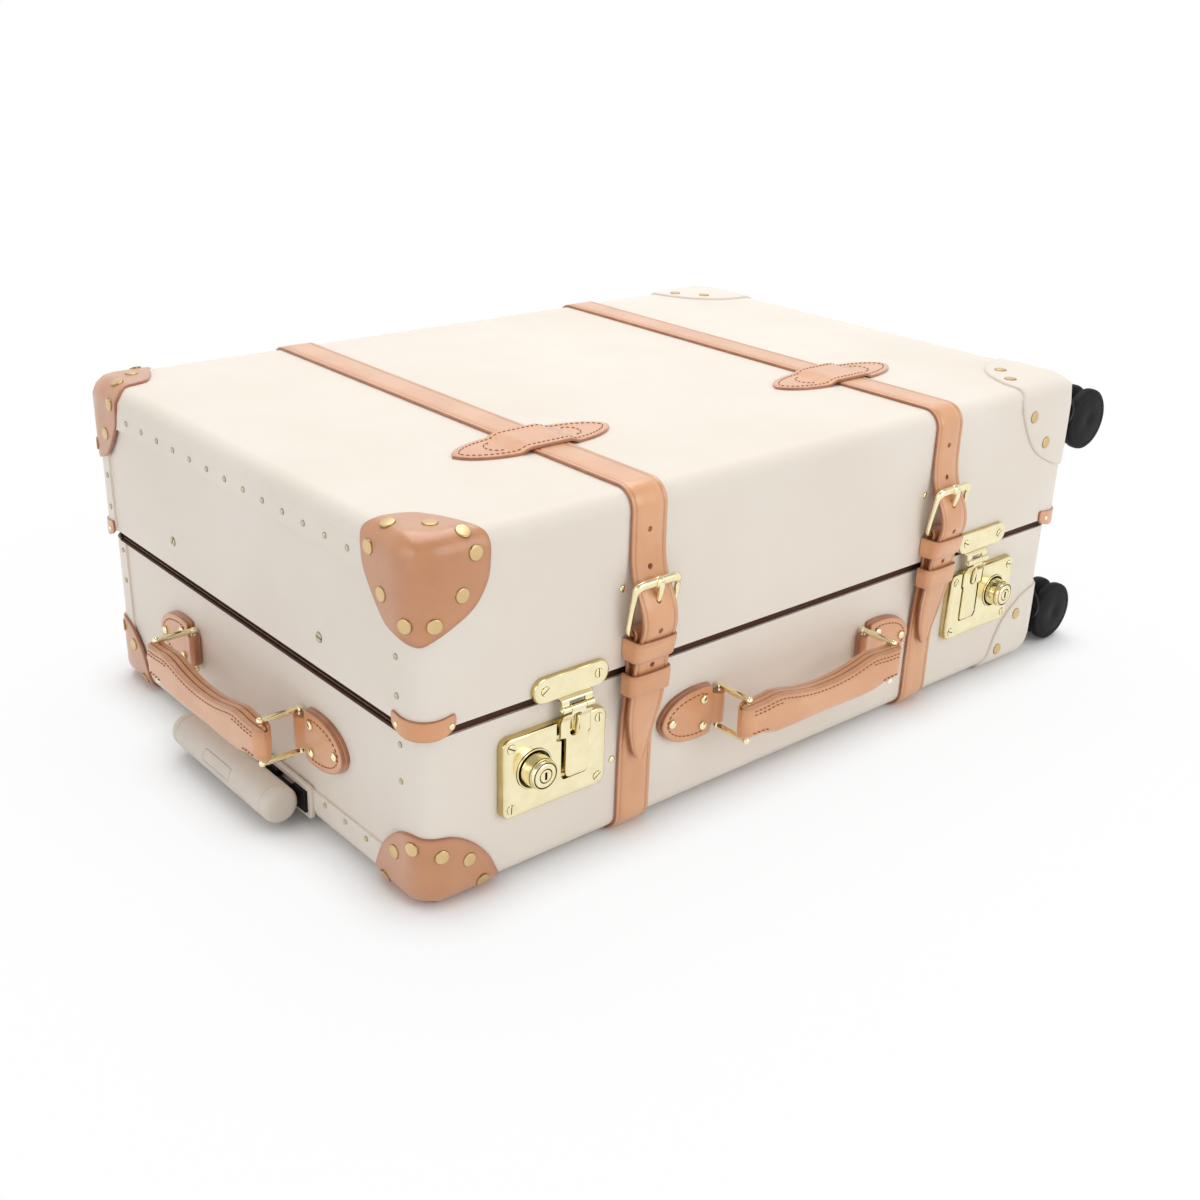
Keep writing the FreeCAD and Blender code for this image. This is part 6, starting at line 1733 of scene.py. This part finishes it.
# Where the ends of a grip begin to close, and over what length.
GRIP_CLOSE, GRIP_CLOSING = 72.5, 7.7
SEAM_STEPS = 120
# Start and end along a grip, whether from its top or its bottom edge, and distance from that edge.
GRIP_SEAMS = [(-74, 74, True, 3.2), (-74, -46, True, 6.0), (-74, -58, False, 5.0), (74, 46, True, 6.0),
              (74, 58, False, 5.0)]


def grip_measure():
    """The top, the bottom and the thickness of a grip as functions of the distance from its middle."""
    top = height_over(GRIP_TOP, 0.5)
    low = height_over(GRIP_LOW, 0.5)
    thick = size("grip_thick")

    def measure(along):
        away = abs(along)
        close = max(0.0, (away - GRIP_CLOSE) / GRIP_CLOSING)
        return top(away), low(away), thick * math.sqrt(max(0.04, 1 - close * close))
    return measure


def grip_parts(place):
    """A grip and the stitching along its edges."""
    middle = FOLD + RING_REACH
    measure = grip_measure()
    rings = []
    wear_and_shade = []
    for step in range(GRIP_STEPS + 1):
        along = -GRIP_HALF + 2 * GRIP_HALF * step / GRIP_STEPS
        section = grip_section_at(*measure(along))
        rings.append([place(along, middle + out, up) for out, up, wear_shade in section])
        wear_and_shade.append([wear_shade for out, up, wear_shade in section])
    grip = Shape()
    grip.skin(rings, wear_and_shade)
    stitches = Shape()
    for face in (1, -1):
        for start, end, from_top, inset in GRIP_SEAMS:
            spots = []
            for step in range(SEAM_STEPS + 1):
                along = start + (end - start) * step / SEAM_STEPS
                top, low, deep = measure(along)
                up = top - inset if from_top else low + inset
                spots.append(place(along, middle + face * (deep / 2 + 0.05), up))
            stitch_row(stitches, evenly(spots, stitch_step()), direction(place, 0, face, 0))
    return grip, stitches


class SUITCASE_OT_handles(bpy.types.Operator):
    """Carry handles: leather plates, brass rings and padded grips"""
    bl_idname = "suitcase.handles"
    bl_label = "Carry handles"

    def execute(self, context):
        thick = size("plate_thick")
        plates = Shape()
        stitches = Shape()
        for place in (on_front_handle, on_end_handle):
            for side in (-1, 1):
                def lower(along, up, height):
                    return place(side * along, height, up)

                def upper(along, up, height):
                    return place(side * along, plate_rise(along, height, thick), up)

                pad(plates, evenly(moon_end(0.0), 1.2, True), lower, thick / 2, 0.6, middle=PLATE_MIDDLE)
                pad(plates, upper_outline(0.5), upper, thick / 2, 0.9, 0.1, PLATE_MIDDLE, inside=PLATE_INSIDE)
                run = [place(side * point.x, plate_rise(point.x, thick / 2, thick) + 0.1, point.y)
                       for point in evenly(moon_end(PLATE_STITCH_INSET), stitch_step())]
                stitch_row(stitches, run, direction(place, 0, 1, 0))
        make(plates, "handle_plates_leather", "leather", "base", ["handle_plates"], SOFT)
        make(stitches, "handle_plates_stitching", "thread", "base")
        rings = [("front_ring_left", -1, on_front_handle), ("front_ring_right", 1, on_front_handle),
                 ("end_ring_back", -1, on_end_handle), ("end_ring_front", 1, on_end_handle)]
        for node, side, place in rings:
            make(ring_shape(side, place), node + "_cast", "brass", node, [node], ROUNDED)
        for node, place in (("front_grip", on_front_handle), ("end_grip", on_end_handle)):
            grip, sewing = grip_parts(place)
            piece = make(grip, node + "_leather", "leather", node, [node], FIRM)
            make(sewing, node + "_stitching", "thread", node)
        return {'FINISHED'}


# Distance in from the surface of the trolley grip and distance from its end, after a small flat at the end.
TROLLEY_END = [(5.0, 0.05), (2.4, 0.5), (0.9, 1.5), (0.2, 3.0), (0, 5.0), (0, 7.6), (0.45, 7.9), (0.45, 8.3),
               (0, 8.6), (0, 12.0)]
TROLLEY_FLAT = 0.3
BUTTON_TILT = math.radians(22.0)
BUTTON_POCKET = 7.8


class SUITCASE_OT_trolley(bpy.types.Operator):
    """Trolley handle: round grip, button, rim, cradle and tubes"""
    bl_idname = "suitcase.trolley"
    bl_label = "Trolley handle"

    def execute(self, context):
        low, high = span("trolley_grip")
        radius = (high.z - low.z) / 2
        half = (high.y - low.y) / 2
        centre = (low + high) / 2
        centre.x = low.x + radius
        ends = [(TROLLEY_FLAT, 0.0)] + [(radius - inset, along) for inset, along in TROLLEY_END]
        profile = [(out, along - half) for out, along in ends] + [(radius, -20.0), (radius, 20.0)]
        profile += [(out, half - along) for out, along in reversed(ends)]
        grip = Shape()
        turned(grip, profile, centre, (0, 1, 0), 64)
        piece = make(grip, "trolley_grip_turned", "plastic", "trolley_inner", ["trolley_grip"], FIRM)
        out = Vector((-math.cos(BUTTON_TILT), 0, math.sin(BUTTON_TILT)))
        up = Vector((math.sin(BUTTON_TILT), 0, math.cos(BUTTON_TILT)))
        button_y = (span("trolley_button")[0].y + span("trolley_button")[1].y) / 2
        start = Vector((centre.x, button_y, centre.z)) + out * (radius - BUTTON_POCKET)

        def block(along, across, height):
            return start + Vector((0, along, 0)) + up * across + out * height

        pocket = Shape()
        pad(pocket, rounded_outline(18.45, 4.35, 0.8, 4, 0.8), block, 20.0, 0.1)
        cut_away(piece, pocket, FIRM)
        finish_nodes("plastic", "trolley_button", "trolley_bezel")
        finish_nodes("black", "trolley_cradle", "trolley_ferrules")
        finish_nodes("tube", "trolley_fixed_tubes", "trolley_middle_tubes", "trolley_inner_tubes")
        return {'FINISHED'}


# Gap from the middle of an axle to a disc, and the radius of the hole in the disc.
DISC_NEAR = 4.0
DISC_BORE = 3.0
# The rim of a disc: distance in from its edge, and from its inner or its outer face.
DISC_INNER = [(3.2, 0.0), (1.1, 0.35), (0.3, 1.1), (0, 2.3)]
DISC_OUTER = [(0, 2.6), (0.35, 1.3), (1.3, 0.45), (2.8, 0.1), (4.4, 0), (4.9, 0.3), (5.4, 0)]
# The hub: radius, and distance in from the outer face.
DISC_HUB = [(10.0, -0.1), (4.2, -0.1), (3.6, 0.2), (0.3, 0.25)]


class SUITCASE_OT_casters(bpy.types.Operator):
    """Twin casters on the wheel end"""
    bl_idname = "suitcase.casters"
    bl_label = "Casters"

    def execute(self, context):
        for label in ("lower_front", "lower_back", "upper_front", "upper_back"):
            node = "wheel_" + label
            low, high = span(node)
            axle = joint_place("spin_" + label)
            radius = (high.z - low.z) / 2
            deep = (high.y - low.y) / 2 - DISC_NEAR
            profile = [(DISC_BORE, 0.0)] + [(radius - inset, along) for inset, along in DISC_INNER]
            profile += [(radius - inset, deep - short) for inset, short in DISC_OUTER]
            profile += [(out, deep - short) for out, short in DISC_HUB]
            shape = Shape()
            for side in (-1, 1):
                turned(shape, profile, axle + Vector((0, side * DISC_NEAR, 0)), (0, side, 0), 64)
            make(shape, node + "_moulded", "rubber", node, [node], MOULDED)
            finish_nodes("black", "fork_" + label)
        finish_nodes("black", "base_caster_seats", "lid_caster_seats")
        return {'FINISHED'}


class SUITCASE_PT_panel(bpy.types.Panel):
    bl_label = "Suitcase"
    bl_idname = "SUITCASE_PT_panel"
    bl_space_type = 'VIEW_3D'
    bl_region_type = 'UI'
    bl_category = "Suitcase"

    def draw(self, context):
        column = self.layout.column()
        for operator in OPERATORS:
            column.operator(operator.bl_idname)
        for group in (context.scene.suitcase_sizes, context.scene.suitcase_colours):
            for name in group.bl_rna.properties.keys():
                if name not in ("rna_type", "name"):
                    column.prop(group, name)


OPERATORS = (SUITCASE_OT_stage, SUITCASE_OT_shells, SUITCASE_OT_corner_caps, SUITCASE_OT_seam_tabs,
             SUITCASE_OT_heads, SUITCASE_OT_straps, SUITCASE_OT_buckles, SUITCASE_OT_loops,
             SUITCASE_OT_keepers, SUITCASE_OT_locks, SUITCASE_OT_hasps, SUITCASE_OT_handles,
             SUITCASE_OT_trolley, SUITCASE_OT_casters)
CLASSES = (SuitcaseSizes, SuitcaseColours) + OPERATORS + (SUITCASE_PT_panel,)


def register():
    for item in CLASSES:
        bpy.utils.register_class(item)
    bpy.types.Scene.suitcase_sizes = PointerProperty(type=SuitcaseSizes)
    bpy.types.Scene.suitcase_colours = PointerProperty(type=SuitcaseColours)


def unregister():
    del bpy.types.Scene.suitcase_colours
    del bpy.types.Scene.suitcase_sizes
    for item in reversed(CLASSES):
        bpy.utils.unregister_class(item)


def main():
    register()
    for operator in OPERATORS:
        group, name = operator.bl_idname.split(".")
        getattr(getattr(bpy.ops, group), name)()


if __name__ == "__main__":
    main()
